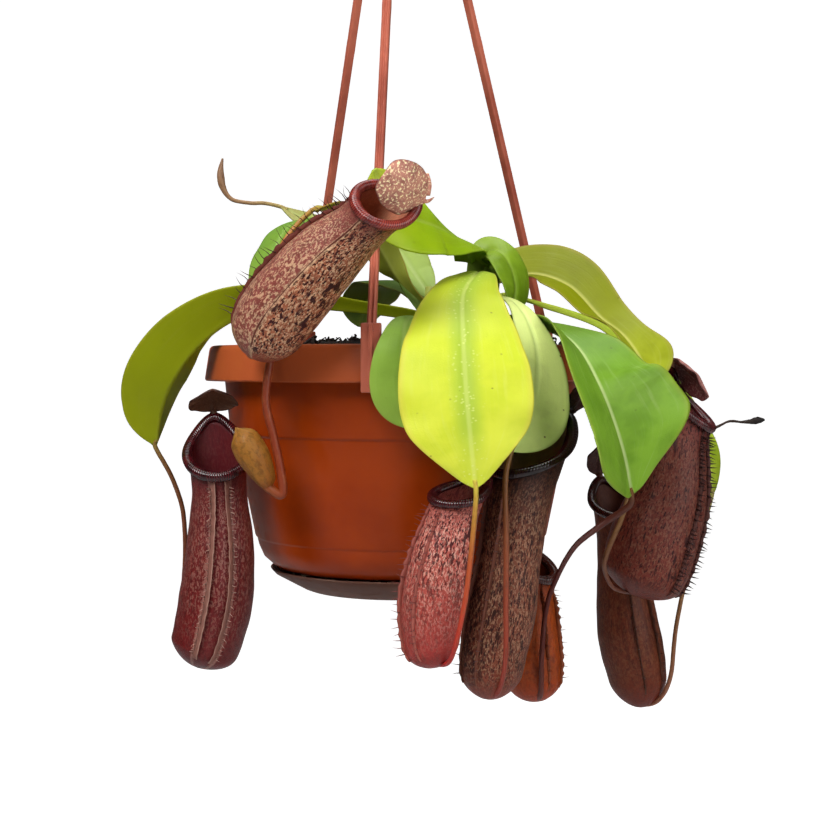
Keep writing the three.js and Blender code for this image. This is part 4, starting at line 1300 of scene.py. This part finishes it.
@dataclass
class Soil:
    """The potting mix: a dark lumpy crown with loose fibres, and roots by the drains."""

    level: float = -1.0
    lump: float = 2.2
    fibres: int = 620
    roots: int = 46

    RINGS = 80
    SIDES = (65.2, 65.6, 63.8, 58.9, 54.0, 44.3, 44.1, 8, 8, 0)

    def crown(self, x: Array, y: Array) -> Array:
        """The height of the mix: two slow sines, with fine lumps on top.

        Args:
            x: places to the right.
            y: places away from the viewer.

        Returns:
            Heights above the rim.
        """
        slow = np.sin(0.21 * x + 1.3) * np.cos(0.17 * y) + 0.6 * np.sin(0.43 * y - 0.31 * x)
        lumps = 0.45 * ripple(1.3 * x, 1.7 * y, 2.0) + 0.3 * ripple(3.1 * x, 2.7 * y, 5.0)
        return self.level + self.lump * slow + lumps

    def build(self) -> None:
        """Makes the crown with its sides and floor, the fibres on it, and root hairs over the saucer."""
        r = np.concatenate([np.linspace(0.0, 64.6, self.RINGS), self.SIDES])[:, None]
        turn = circle(240)[None, :]
        x, y = r * np.cos(turn), r * np.sin(turn)
        z = np.minimum(self.crown(x, y), np.where(r > 60, 0.6 - (r - 60) * 0.5, 9.0))
        floor = FOOT + WALL + PLAY
        depth = np.array([-3, -13.2, -33, -50, -72, floor + 0.2, floor, floor, floor + 5, floor + 5])[:, None]
        z = np.vstack([z[: self.RINGS], depth + 0 * turn])
        sheet = Sheet()
        sheet.grid(np.stack([x, y, z], -1), {}, round_u=True)
        sheet.piece("soil_crown", self.mix("soil_mix", (34, 24, 19), (12, 9, 8)), "soil")
        rng = np.random.default_rng(11)
        loose = Sheet()
        for _ in range(self.fibres):
            reach = 64.0 * math.sqrt(rng.uniform(0.02, 1.0))
            at = rng.uniform(0, 2 * math.pi)
            start = np.array([reach * math.cos(at), reach * math.sin(at)])
            way = rng.uniform(0, 2 * math.pi)
            long = rng.uniform(3.0, 9.0)
            step = np.array([math.cos(way), math.sin(way)]) * long / 3
            flat = [start + step * i + rng.normal(0, 0.6, 2) for i in range(4)]
            flat = [f * min(1.0, 64.5 / max(np.hypot(*f), 1)) for f in flat]
            base = [float(self.crown(f[0], f[1])) for f in flat]
            rise = np.abs(rng.normal(0.7, 0.9, 4)) + 0.1
            edge = [min(b + h, 3.4) for b, h in zip(base, rise)]
            thick = rng.uniform(0.22, 0.55)
            tube(loose, np.array([(*f, z) for f, z in zip(flat, edge)]), (thick, thick, thick * 0.6), 4, 5)
        loose.piece("soil_fibres", self.mix("soil_fibre", (46, 31, 24), (16, 11, 9)))
        roots = Sheet()
        for _ in range(self.roots):
            at = rng.uniform(0, 2 * math.pi)
            r0 = rng.uniform(42.0, 47.0)
            heading_ = at + rng.uniform(-0.12, 0.12)
            pts = [(r0 * math.cos(at), r0 * math.sin(at), -85.6 + rng.uniform(-0.5, 0.4))]
            pts += [((r0 + d) * math.cos(heading_), (r0 + d) * math.sin(heading_), -85.0 + rng.uniform(-0.8, 0.3))
                    for d in (1.3, 2.6)]
            tube(roots, np.array(pts), (0.3, 0.26, 0.12), 4, 5)
        roots.piece("root_hairs", self.mix("root_pale", (188, 172, 150), (120, 100, 80)))

    def mix(self, name: str, tone: Tone, shade: Tone) -> Skin:
        """Rough crumbly matter in two tones.

        Args:
            name: the material's name.
            tone: its main tone.
            shade: the tone of its hollows.

        Returns:
            The finished material.
        """
        p = Paint(name)
        where = p.place()
        lumps = p.noise(where, 420.0, 5.0, 0.7)
        p.color = shade
        p.lay(tone, 1.0, lumps, 0.35, 0.65)
        return p.coat(0.92, p.bump(lumps, 0.0012, 0.9), Specular_IOR_Level=0.25)


LEAVES: dict[str, Leaf] = {leaf.name: leaf for leaf in (
    Leaf("front", ((30, -9, 26), (28, -33, 26.5), (21.5, -67, 17), (20.4, -90, 2.7), (21, -99, -15.2),
        (22.4, -102, -31.2), (24, -102, -46.6)), ((0, -0.3, 1), (0, -0.5, 1), (0, -1, 0.35), (0, -1, -0.1)), 22, 5.5,
        1.75, 0.62, 0.05, 0.16,
        LeafFinish((150, 180, 60), (200, 216, 40), (226, 234, 60), (228, 234, 78), (226, 210, 90), (236, 242, 150),
            (180, 200, 70), 0.45, 0.5, 0.25, 0.36, 0.3, (168, 198, 62), 0.1, 0.5),
        Motion.EASY, 3.2, 0.3, drawn=0.32),
    Leaf("left", ((11, 0, 7), (3.1, -6, 10.6), (-19.6, -14, 13.5), (-41.7, -22, 14.6), (-60.3, -32, 9.9),
        (-74, -36, -0.4), (-83.4, -36, -13.5), (-88.4, -32, -25.6), (-90.3, -30, -37)), ((0, 0.2, 1), (-0.1, 0.5, 1),
        (-0.4, 0.8, 0.8), (-0.8, 0.7, 0.3)), 13.4, 3, 2.3, 0.7, 0.85, 0,
        LeafFinish((140, 158, 40), (170, 180, 16), (166, 178, 4), (168, 170, 10), (176, 172, 50), (190, 176, 100),
            (150, 160, 6), 0.3, 0.2, 0.42, 0.34, 0.3, None, 0.2),
        Motion.FLAT),
    Leaf("bud", ((12, 2, 19), (5.1, 14, 29.4), (-4, 20, 41), (-20.1, 24, 47.7), (-33.8, 24, 49.6), (-48, 24, 56)),
        ((-0.5, 0.2, 1), (-0.3, -0.5, 1), (0, -0.6, 1)), 12, 2.4, 1, 0.7, 0.1, 0.2,
        LeafFinish((150, 176, 90), (172, 196, 96), (180, 200, 96), (176, 160, 100), (150, 160, 80), (190, 206, 130),
            (160, 180, 96), 0.4, 0.1, 0.3, 0.38)),
    Leaf("upper", ((11, 0, 14.7), (-1.5, -5, 27), (-10, -12, 40), (-18, -19, 47), (-26, -25, 50.5),
        (-32.4, -30, 49.1)), ((-0.6, -0.3, 1), (-0.5, 0, 1), (0, -0.1, 1)), 8, 2.4, 1.2, 0.7, 0.3, 0,
        LeafFinish((160, 170, 80), (168, 178, 66), (200, 196, 70), (190, 150, 70), (190, 140, 70), (206, 210, 124),
            (160, 165, 60), 0.5, 0.1, 0.3, 0.38),
        Motion.FLAT),
    Leaf("young", ((11, 1, 11), (-4, 7, 31), (-23.9, 4, 45.2), (-39, -4, 47.8), (-45.5, -22, 37.9), (-48, -37, 22.1),
        (-48.4, -47, 10.6)), ((-0.8, 0.3, 1), (-0.3, 0, 1), (-0.5, -0.8, 0.8), (-0.3, -1, 0.6)), 10, 2.4, 1.5, 0.6,
        0.1, 0.15,
        LeafFinish((140, 166, 80), (124, 172, 62), (132, 176, 62), (150, 160, 66), (130, 140, 60), (170, 200, 100),
            (120, 150, 60), 0.4, 0.15, 0.28, 0.34)),
    Leaf("back", ((12.5, 2, 13), (4, 30, 25), (-8, 50, 27), (-15.5, 62, 19), (-18, 65, 9)), ((-0.2, 0, 1),
        (-0.2, 0.3, 1), (-0.4, 1, 0.3)), 13, 2.4, 1.3, 0.6, 0.1, 0.15,
        LeafFinish((150, 165, 70), (96, 138, 40), (112, 150, 45), (140, 165, 60), (150, 140, 60), (170, 190, 90),
            (128, 150, 70))),
    Leaf("small", ((12, -1, 6.5), (7.9, -44, 9), (2.5, -72, 8.5), (0.5, -81, 0), (0, -82, -13.8), (1.5, -81.5, -28)),
        ((0, 0, 1), (0, -0.2, 1), (0, -1, 0.6), (0, -1, 0)), 10.5, 2.2, 2.9, 0.6, 0.05, 0.05,
        # Its tones are painted paler than the leaf's own: painted light against the front leaf's shadow.
        LeafFinish((150, 170, 90), (150, 190, 70), (156, 198, 72), (160, 190, 80), (150, 176, 70), (186, 212, 110),
            (130, 160, 70), 0.4, 0.15, 0.25, 0.36),
        Motion.FLAT),
    Leaf("top", ((27.4, -9, 31.5), (25.5, -20, 37), (20.5, -36, 39), (12.5, -52, 41.5), (2.5, -67, 44),
        (-4.5, -76, 50), (-9, -80, 58)), ((0.3, 0.2, 1), (0, -1, 0.4), (0.2, -1, 0.4)), 13, 7, 1.6, 0.7, 0.1, 0.2,
        LeafFinish((170, 192, 60), (156, 196, 18), (176, 208, 22), (214, 218, 70), (182, 204, 60), (206, 226, 120),
            (96, 130, 30), 0.35, 0.1, 0.3, 0.22, 0.25, None, 0.45)),
    Leaf("arched", ((30.5, -9, 17), (32.5, -12.5, 34.5), (37.2, -18, 35), (41, -22, 29), (42.4, -26, 21),
        (40.6, -31, 13.4)), ((-0.2, -1, 0), (0.3, -0.5, 1), (1, -0.5, 0.2)), 8.5, 6.5, 1.6, 0.5, 0.15, 0.2,
        LeafFinish((160, 180, 90), (146, 178, 44), (98, 132, 8), (88, 118, 6), (146, 172, 50), (170, 196, 90),
            (110, 140, 60), 0.35, 0.15, 0.26, 0.24, 0.25, None, 0.4),
        Motion.FLAT),
    Leaf("middle", ((30, -8, 15), (36, -32, 17.6), (42.2, -52, 12.6), (46.4, -63.5, 0.5), (46.5, -70, -12.5),
        (43, -77, -24.5), (37, -82, -36)), ((0.1, 0, 1), (0.2, -0.3, 1), (0.59, -0.8, 0.5), (0.45, -0.85, 0.1)), 15,
        2.8, 2.6, 0.75, 0.05, 0.05,
        # Its tones are painted far paler than the leaf's own: painted light against the front leaf's shadow.
        LeafFinish((210, 210, 130), (234, 248, 150), (234, 248, 146), (196, 222, 116), (130, 150, 70),
            (200, 220, 140), (150, 176, 90), 0.35, 0.9, 0.25, 0.34, 0.3),
        Motion.FLAT),
    Leaf("broad", ((31, -5, 8), (43, -27, 9), (54, -49, 5.2), (61.5, -62, -1.6), (66.7, -72, -12.3),
        (71.8, -72, -24.1), (76.4, -69, -37.5), (80.1, -63, -52.3)), ((0.3, 0, 1), (0.5, -0.5, 0.9),
        (0.62, -0.78, 0.4), (0.66, -0.75, 0.1)), 28, 3, 3.25, 0.44, 0.5, 0.05,
        LeafFinish((122, 154, 40), (88, 132, 16), (138, 184, 54), (136, 182, 48), (164, 176, 66), (206, 226, 150),
            (128, 160, 80), 0.4, 0.3, 0.22, 0.28, 0.8, None, 0.4),
        Motion.EASY, 2.2, 0.4, drawn=0.6),
    Leaf("right", ((29.5, -6, 21), (40, 3, 26), (52.9, 4, 28), (65.7, 0, 23), (75.9, -8, 11.3), (83.6, -20, 3.5),
        (89.4, -28, -7.3), (90.6, -32, -20.1)), ((0, -0.3, 1), (0, -0.7, 0.8), (0.3, -0.7, 0.8), (0.7, -0.6, 0.5)),
        12.5, 2.8, 0.62, 0.85, 0.5, 0,
        LeafFinish((160, 166, 44), (150, 158, 4), (148, 156, 2), (214, 228, 60), (190, 170, 90), (220, 220, 120),
            (160, 168, 20), 0.45, 0.3, 0.4, 0.34, 0.7),
        Motion.EASY, 2.0, 0.6, tail=7.0),
    Leaf("low", ((30, -5, 14.5), (42, 16, 20), (54, 30, 18.5), (82.6, 40, 9.2), (105.5, 40, -7.4), (118.9, 34, -25.9),
        (125, 28, -42.9), (125.8, 22, -60.2)), ((0.2, -0.1, 1), (0.3, -0.2, 1), (0.7, -0.5, 0.6), (0.6, -0.9, 0)), 11,
        2.6, 1.6, 0.6, 0.1, 0.15,
        LeafFinish((180, 200, 60), (206, 222, 70), (176, 206, 50), (132, 150, 16), (150, 160, 30), (200, 216, 100),
            (150, 180, 60), 0.35, 0.15, 0.34, 0.38)),
)}


def wing_tone(tone: Tone, edge: Tone) -> LeafFinish:
    """The finish of a pitcher's wings: a tone with a paler or darker edge."""
    return LeafFinish(tone, tone, tone, tone, edge, edge, tone, 0.7, 0.2, 0.1, 0.45, 0.0)


PITCHERS: dict[str, Pitcher] = {p.name: p for p in (
    Pitcher("upper", ((-49.4, -72, -4.8), (-43.5, -77, 7.3), (-33.6, -84, 19.1), (-22.6, -91, 29.9),
        (-12.6, -98, 37.8), (-5.4, -104, 43.6)), (10.6, 12.8, 12.8, 11.2, 8.8, 8.6), (-0.6, -0.7, 0.4), 25, 2,
        (30, 4.5),
        Lid(19, 8.6, 8, -60, 2.2, 0.3, 0.28, ((8.4, -101, 47), (8.7, -101, 50.5), (8.3, -100.5, 54))),
        PitcherFinish((146, 50, 38), (158, 92, 64), (122, 48, 44), (48, 8, 12), (232, 196, 154),
            (196, 128, 98), 1.0, 0.55, 0.4, 0.42, (140, 72, 68), 0.34, 0.8, 0.12),
        CollarFinish((158, 62, 50), (84, 22, 22), (70, 18, 20), 0.16),
        LidFinish((196, 132, 112), (255, 240, 192), (104, 46, 44), (196, 134, 112), 1.0, 0.6),
        wing_tone((120, 60, 50), (70, 34, 30)), (62, 30, 26), seed=1.0, wing_turn=0.72, roll_size=0.75,
            fins=(1.0, 0.15)),
    Pitcher("left", ((-73.9, -42, -116.5), (-70.3, -42, -106.4), (-66.7, -42, -90.2), (-65.3, -42, -72.2),
        (-65.6, -42, -53), (-66.4, -42, -39.5)), (11, 12.8, 13.4, 12, 9.8, 10.4), (0.15, -1, 0), 36, 5, (30, 2.2),
        Lid(12, 9, 40, 0, 2.5, 0.35),
        PitcherFinish((92, 0, 6), (106, 38, 34), (90, 20, 24), (52, 10, 14), (170, 122, 108),
            (84, 20, 28), 0.5, 0.4, 0.4, 0.14, (92, 26, 26), 0.3, 0.3, 0.6),
        CollarFinish((84, 18, 24), (34, 6, 9), (26, 5, 8)),
        LidFinish((84, 52, 36), (124, 90, 64), (44, 22, 20), (92, 58, 40), 0.3, 0.5),
        wing_tone((138, 92, 80), (176, 136, 120)), (170, 132, 118), seed=2.0, splay=2.2),
    Pitcher("young", ((-45.8, -66, -50.3), (-47.6, -66, -44.8), (-51, -66, -38.2), (-54.4, -66, -32.4),
        (-57.2, -66, -28.6)), (2.2, 4.2, 5.6, 5, 2.4), (-0.5, -0.8, -0.2), 0, 0, (0, 0), None,
        PitcherFinish((138, 72, 20), (140, 86, 26), (150, 106, 42), (98, 48, 20),
            (156, 116, 54), (150, 100, 60), 0.1, 0.14), closed=True, seed=3.0),
    Pitcher("front", ((12.3, -84, -108.3), (10, -84, -98.7), (10.6, -84, -85.4), (13.3, -84, -72.1),
        (16.6, -84, -58.7), (19.3, -84, -50.6)), (8.4, 9.8, 11, 10.6, 8.8, 8), (-0.8, -0.6, 0), 28, 4, (26, 2.4),
        Lid(13, 6.5, 50, 0, 2.5),
        PitcherFinish((136, 0, 8), (188, 96, 84), (150, 72, 62), (54, 8, 14), (228, 180, 160),
            (120, 50, 46), 0.95, 0.6, 0.45, 0.34, None, 0.34, 1.0, 0.74),
        CollarFinish((76, 20, 24), (26, 6, 9), (28, 8, 10)),
        LidFinish((96, 58, 48), (140, 104, 88), (52, 28, 26), (96, 50, 44), 0.4, 0.5),
        wing_tone((168, 92, 80), (110, 50, 46)), (120, 56, 52), seed=4.0, roll_size=0.75),
    Pitcher("middle", ((30.1, -70, -122.4), (31.1, -70, -109.8), (34.5, -70, -91), (37.3, -70, -72.2),
        (40.3, -70, -53), (45, -67.5, -39)), (9, 11.2, 12, 10.8, 11, 11), (-0.75, -0.62, 0), 42, 8, (22, 2.2),
        Lid(11, 5, 100, 0, 3),
        PitcherFinish((134, 50, 32), (122, 68, 50), (24, 6, 4), (34, 10, 10), (176, 134, 104),
            (186, 146, 110), 0.92, 0.5, 0.5, 0.3, None, 0.42, 0.8),
        CollarFinish((48, 14, 16), (14, 4, 5), (12, 4, 5)),
        LidFinish((52, 30, 28), (90, 64, 54), (26, 14, 14), (50, 26, 24), 0.3, 0.5),
        wing_tone((120, 72, 56), (84, 44, 36)), (84, 44, 36), seed=5.0, roll_size=0.9),
    Pitcher("broad", ((48.5, -48, -128.2), (47.4, -48, -115.3), (46.4, -48, -101.8), (46, -48, -88.2),
        (47, -49, -79)), (9, 10.6, 10.2, 9.2, 7.6), (0.7, -0.7, 0), 25, 2, (10, 1.8),
        Lid(12, 6, 35, 0, 2.5),
        PitcherFinish((150, 46, 12), (160, 66, 14), (116, 44, 14), (92, 30, 14), (156, 84, 44),
            (110, 54, 34), 0.25, 0.25),
        CollarFinish((90, 40, 32), (44, 16, 14), (44, 16, 14)),
        LidFinish((104, 62, 46), (140, 98, 74), (60, 34, 28), (92, 50, 40), 0.35, 0.4),
        wing_tone((140, 74, 46), (110, 54, 38)), (110, 54, 38), seed=6.0, roll_size=0.8),
    Pitcher("right", ((88, -22, -94.1), (91.2, -22, -85.8), (95, -22, -72.8), (99.5, -22, -59.7), (102.8, -22, -45.8),
        (105.4, -22, -32.4), (107.3, -22, -23.4)), (13, 16, 16.6, 15, 12.4, 10, 9.6), (0.85, -0.5, 0), 32, 6,
        (40, 2.3),
        Lid(20, 9.5, -34, -30, 4.1, 0.3, 0.42),
        PitcherFinish((110, 40, 28), (102, 47, 35), (106, 46, 40), (36, 8, 10), (142, 98, 78),
            (80, 26, 28), 0.9, 0.35, 0.42, 0.3, None, 0.4, 0.35),
        CollarFinish((96, 36, 36), (40, 10, 12), (40, 10, 12)),
        LidFinish((172, 116, 108), (200, 156, 146), (96, 52, 50), (100, 34, 36), 0.45, 0.4),
        wing_tone((88, 50, 44), (60, 34, 30)), (46, 22, 20), seed=7.0, barb=0.42),
    Pitcher("low", ((97.1, 14, -144.7), (95.1, 14, -132.7), (92.3, 14, -118.8), (89.9, 14, -102.9), (88.4, 14, -87),
        (86.6, 14, -72.3), (85.4, 14, -63)), (9, 11.6, 12.6, 11.4, 9.6, 8.6, 8.6), (0.4, -0.9, 0), 30, 4, (18, 1.8),
        Lid(15, 7, 60, 0, 2.6),
        PitcherFinish((104, 30, 16), (100, 42, 20), (104, 54, 34), (56, 16, 8), (134, 84, 54),
            (80, 46, 38), 0.4, 0.3, 0.34, 0.16),
        CollarFinish((80, 36, 32), (40, 14, 14), (40, 14, 14)),
        LidFinish((80, 46, 38), (116, 80, 66), (46, 26, 24), (64, 32, 30), 0.35, 0.5),
        wing_tone((96, 58, 44), (70, 40, 32)), (70, 40, 32), seed=8.0),
)}

OLIVE, RUST, WINE, BARK = (176, 176, 74), (150, 82, 44), (112, 44, 36), (86, 50, 36)
STRANDS: tuple[Strand, ...] = (
    Strand("upper", ((-39.7, -46, 39.3), (-45.5, -57, 26.7), (-50.5, -60, 13.7), (-53, -62, 0), (-52, -66, -3.8)),
        (1.6, 1.2, 1.2, 1.3),
        StrandFinish(((0.0, (150, 140, 44)), (0.3, (176, 104, 50)), (1.0, (130, 54, 40))), RUST)),
    Strand("left", ((-85, -29, -48), (-81, -28, -60.2), (-80, -28, -74), (-80.5, -28, -86), (-81.5, -30, -104),
        (-80, -36.5, -112.5)), (1.4, 1.1, 1.1, 1.2),
        StrandFinish(((0.0, (140, 130, 50)), (0.2, (110, 58, 40)), (1.0, (90, 28, 28))), WINE)),
    Strand("young", ((-46.4, -53, 5.5), (-43.9, -58.5, 3.5), (-44.8, -64, -3.5), (-46.5, -66, -19.3),
        (-43.6, -66, -33.1), (-41.2, -66, -45.1), (-41.2, -66, -52)), (1.2, 1.5, 1.7, 1.8, 1.9, 2),
        StrandFinish(((0.0, (130, 110, 50)), (0.3, (116, 38, 20)), (0.8, (126, 46, 22)), (1.0, (136, 84, 40))),
            RUST)),
    Strand("front", ((24, -101.5, -52), (22.8, -100.5, -66), (21, -99.5, -82), (18.3, -98, -96), (15.8, -92, -105)),
        (1.2, 1, 1.1, 1),
        StrandFinish(((0.0, (206, 192, 70)), (0.2, (186, 160, 60)), (0.42, (160, 44, 36)), (1.0, (184, 24, 36))),
            RUST)),
    Strand("middle", ((34.8, -84, -46), (35, -85.5, -66), (35, -85.5, -86), (34.9, -84.5, -106), (33, -78.5, -118)),
        (1.5, 1.2, 1.2, 1),
        StrandFinish(((0.0, (116, 96, 40)), (0.3, (120, 72, 40)), (0.6, (142, 50, 38)), (1.0, (130, 46, 34))), BARK)),
    Strand("broad", ((79.4, -60.4, -56.8), (71, -56, -63.5), (61, -59, -71), (54.5, -61.5, -81.5), (50.8, -61.8, -92),
        (49.3, -61.5, -108), (49.4, -57, -123)), (1.7, 1.5, 1.1, 1.2),
        StrandFinish(((0.0, (130, 90, 40)), (0.15, (74, 26, 22)), (0.6, (64, 20, 18)), (1.0, (110, 44, 26))), BARK)),
    Strand("right", ((86.5, -39, -40), (80.8, -42, -60.3), (74.8, -41, -75.5), (74.6, -37, -82.5), (79, -31, -90)),
        (1.1, 1.0, 1.2, 0.9),
        StrandFinish(((0.0, OLIVE), (0.3, (110, 62, 46)), (1.0, (96, 54, 42))), BARK)),
    Strand("low", ((119, 14, -78), (112.5, 7, -93.6), (108.5, 5, -112), (106.6, 5.5, -131), (102.5, 9.5, -141)),
        (1.3, 1.1, 1.1, 1.2),
        StrandFinish(((0.0, (140, 150, 60)), (0.4, (140, 84, 60)), (1.0, (130, 80, 60))), BARK)),
    Strand("bud", ((-55, 24, 57.6), (-61.1, 24, 57.7), (-68, 24, 59.2), (-71.6, 24, 64), (-72.4, 24, 70),
        (-71.6, 24, 75.5)), (1.1, 1, 1, 1.1, 1.9, 0.5),
        StrandFinish(((0.0, (170, 160, 90)), (0.4, (150, 110, 76)), (1.0, (128, 96, 72))), BARK)),
)


@dataclass
class Crown:
    """The two stems, and the dried thread on the right pitcher."""

    main: Rows = ((12, 0, -38), (12.4, 0, -12), (12, 0.6, 8), (12.2, 1.4, 23))
    side: Rows = ((31, -3, -36), (31, -5, -8), (30, -6, 14), (29, -8, 32))
    dry: Rows = ((117.6, -23.1, -30.8), (122.5, -25, -28.4), (126, -28, -28.4), (131, -28, -28.2), (135, -28, -27.6))

    def build(self) -> None:
        """Makes both stems, ringed by old leaf scars, and the thread with its dead bud."""
        cane = StrandFinish(((0.0, (96, 84, 50)), (0.5, (140, 146, 66)), (1.0, (170, 178, 84))), BARK, 0.5)
        for name, way, radii in (("main", self.main, (4.4, 4.4, 4, 2.6)), ("side", self.side, (4, 4, 3.6, 2.4))):
            sheet = Sheet()
            tube(sheet, np.array(way), radii, 36, 90, True, 0.06, 1.7)
            sheet.piece(f"stem_{name}_cane", cane.material(f"stem_{name}_skin"), f"stem_{name}")
        sheet = Sheet()
        tube(sheet, np.array(self.dry), (0.6, 0.45, 0.5, 0.45, 0.9, 1.35, 0.4), 10, 60, knobs=0.25, seed=4.0)
        dead = StrandFinish(((0.0, (58, 40, 32)), (1.0, (20, 16, 14))), (20, 14, 12), 0.8)
        sheet.piece("dry_tip_thread", dead.material("dead_thread"), "dry_tip")


@dataclass
class Studio:
    """The camera, the soft lights, and the pale floor with its wall, in metres."""

    camera: Row = (0.0, -0.583, -0.2702)
    centre: Row = (0.01267, 1.0, -0.03867)
    lens: float = 64.3
    floor: float = -0.78
    surround: float = 5.8
    front: float = -6.0
    bend: float = 1.5
    back: float = 4.5
    top: float = 7.0
    half: float = 9.0
    room_light: float = 0.08
    aim: Row = (0.0, 0.0, -0.25)
    lamps: tuple[tuple[str, Row, float, float], ...] = (
        ("key", (-0.6, -1.0, 0.8), 0.8, 27.0),
        ("fill", (1.0, -1.0, 0.15), 1.0, 12.0),
        ("crown", (0.1, 0.2, 1.1), 0.9, 11.0),
    )

    def build(self) -> None:
        """Sets the camera, then the floor and the lights."""
        scene = bpy.context.scene
        data = bpy.data.cameras.new("view")
        data.lens, data.sensor_width = self.lens, 36.0
        data.clip_start, data.clip_end = 0.01, 50.0
        eye = bpy.data.objects.new("view", data)
        eye.location = self.camera
        eye.rotation_euler = Vector(self.centre).to_track_quat("-Z", "Y").to_euler()
        scene.collection.objects.link(eye)
        scene.camera = eye
        self.build_floor()
        self.build_surround()
        world = bpy.data.worlds.new("soft_room")
        world.use_nodes = True
        world.node_tree.nodes["Background"].inputs["Color"].default_value = WHITE
        world.node_tree.nodes["Background"].inputs["Strength"].default_value = self.room_light
        scene.world = world
        scene.view_settings.view_transform = "Standard"
        for lamp in self.lamps:
            self.lamp(*lamp)

    def lamp(self, name: str, place: Row, size: float, watts: float) -> None:
        """A square lamp that faces the plant.

        Args:
            name: its name.
            place: where it stands, in metres.
            size: its side.
            watts: its strength.
        """
        data = bpy.data.lights.new(name, "AREA")
        data.size, data.energy = size, watts
        obj = bpy.data.objects.new(name, data)
        obj.location = place
        obj.rotation_euler = (Vector(self.aim) - Vector(place)).to_track_quat("-Z", "Y").to_euler()
        bpy.context.scene.collection.objects.link(obj)

    def build_floor(self) -> None:
        """A floor that sweeps up into a wall behind: a quarter circle joined to two flats."""
        turn = np.linspace(0, np.pi / 2, 24)
        y = np.concatenate([[self.front], self.back - self.bend + self.bend * np.sin(turn), [self.back]])
        z = np.concatenate([[0.0], self.bend - self.bend * np.cos(turn), [self.top]]) + self.floor
        wide = self.half * np.array([-1.0, 1.0])
        grid = np.stack([wide + 0 * y[:, None], y[:, None] + 0 * wide, z[:, None] + 0 * wide], -1)
        p = Paint("pale_floor")
        seen = p.node("ShaderNodeLightPath").outputs["Is Camera Ray"]
        self.stand("floor", grid, p.finished(p.node("ShaderNodeBsdfPrincipled", {
            "Base Color": WHITE_FLOOR, "Roughness": 0.9, "Specular IOR Level": 0.0, "Emission Color": WHITE,
            "Emission Strength": p.times(seen, 0.95)}).outputs[0]))

    def build_surround(self) -> None:
        """A round pale wall on the floor: a circle drawn upwards, which is seen but leaves the light alone."""
        turn = np.linspace(0, 2 * np.pi, 97)
        ring = self.surround * np.stack([np.cos(turn), np.sin(turn), 0 * turn], -1)
        grid = moved(ring[:, None], (UP, np.array([[self.floor, self.half]])))
        p = Paint("pale_surround")
        seen = p.node("ShaderNodeLightPath").outputs["Is Camera Ray"]
        clear = p.node("ShaderNodeBsdfTransparent").outputs[0]
        pale = p.node("ShaderNodeEmission", {"Color": WHITE, "Strength": 1.0}).outputs[0]
        mixed = p.node("ShaderNodeMixShader", {0: seen, 1: clear, 2: pale}).outputs[0]
        self.stand("surround", grid, p.finished(mixed))

    def stand(self, name: str, grid: Array, material: Skin) -> None:
        """Puts up a staged wall.

        Args:
            name: the wall's name.
            grid: its points in metres, as rows x 2 x 3.
            material: its finish.
        """
        index = np.arange(len(grid) * 2).reshape(-1, 2)
        mesh = bpy.data.meshes.new(name)
        quads = np.stack([index[:-1, 0], index[:-1, 1], index[1:, 1], index[1:, 0]], -1)
        mesh.from_pydata(grid.reshape(-1, 3), [], quads)
        mesh.polygons.foreach_set("use_smooth", [True] * len(mesh.polygons))
        mesh.materials.append(material)
        obj = bpy.data.objects.new(name, mesh)
        bpy.context.scene.collection.objects.link(obj)


def main() -> None:
    """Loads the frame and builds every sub-assembly in order."""
    logging.basicConfig(level=logging.INFO, format="%(name)s %(message)s")
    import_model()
    Studio().build()
    for part in (Pot(), Saucer(), Soil(), Hanger(), Crown()):
        part.build()
    for part in (*LEAVES.values(), *STRANDS, *PITCHERS.values()):
        part.build()
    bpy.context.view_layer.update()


if __name__ == "__main__":
    main()
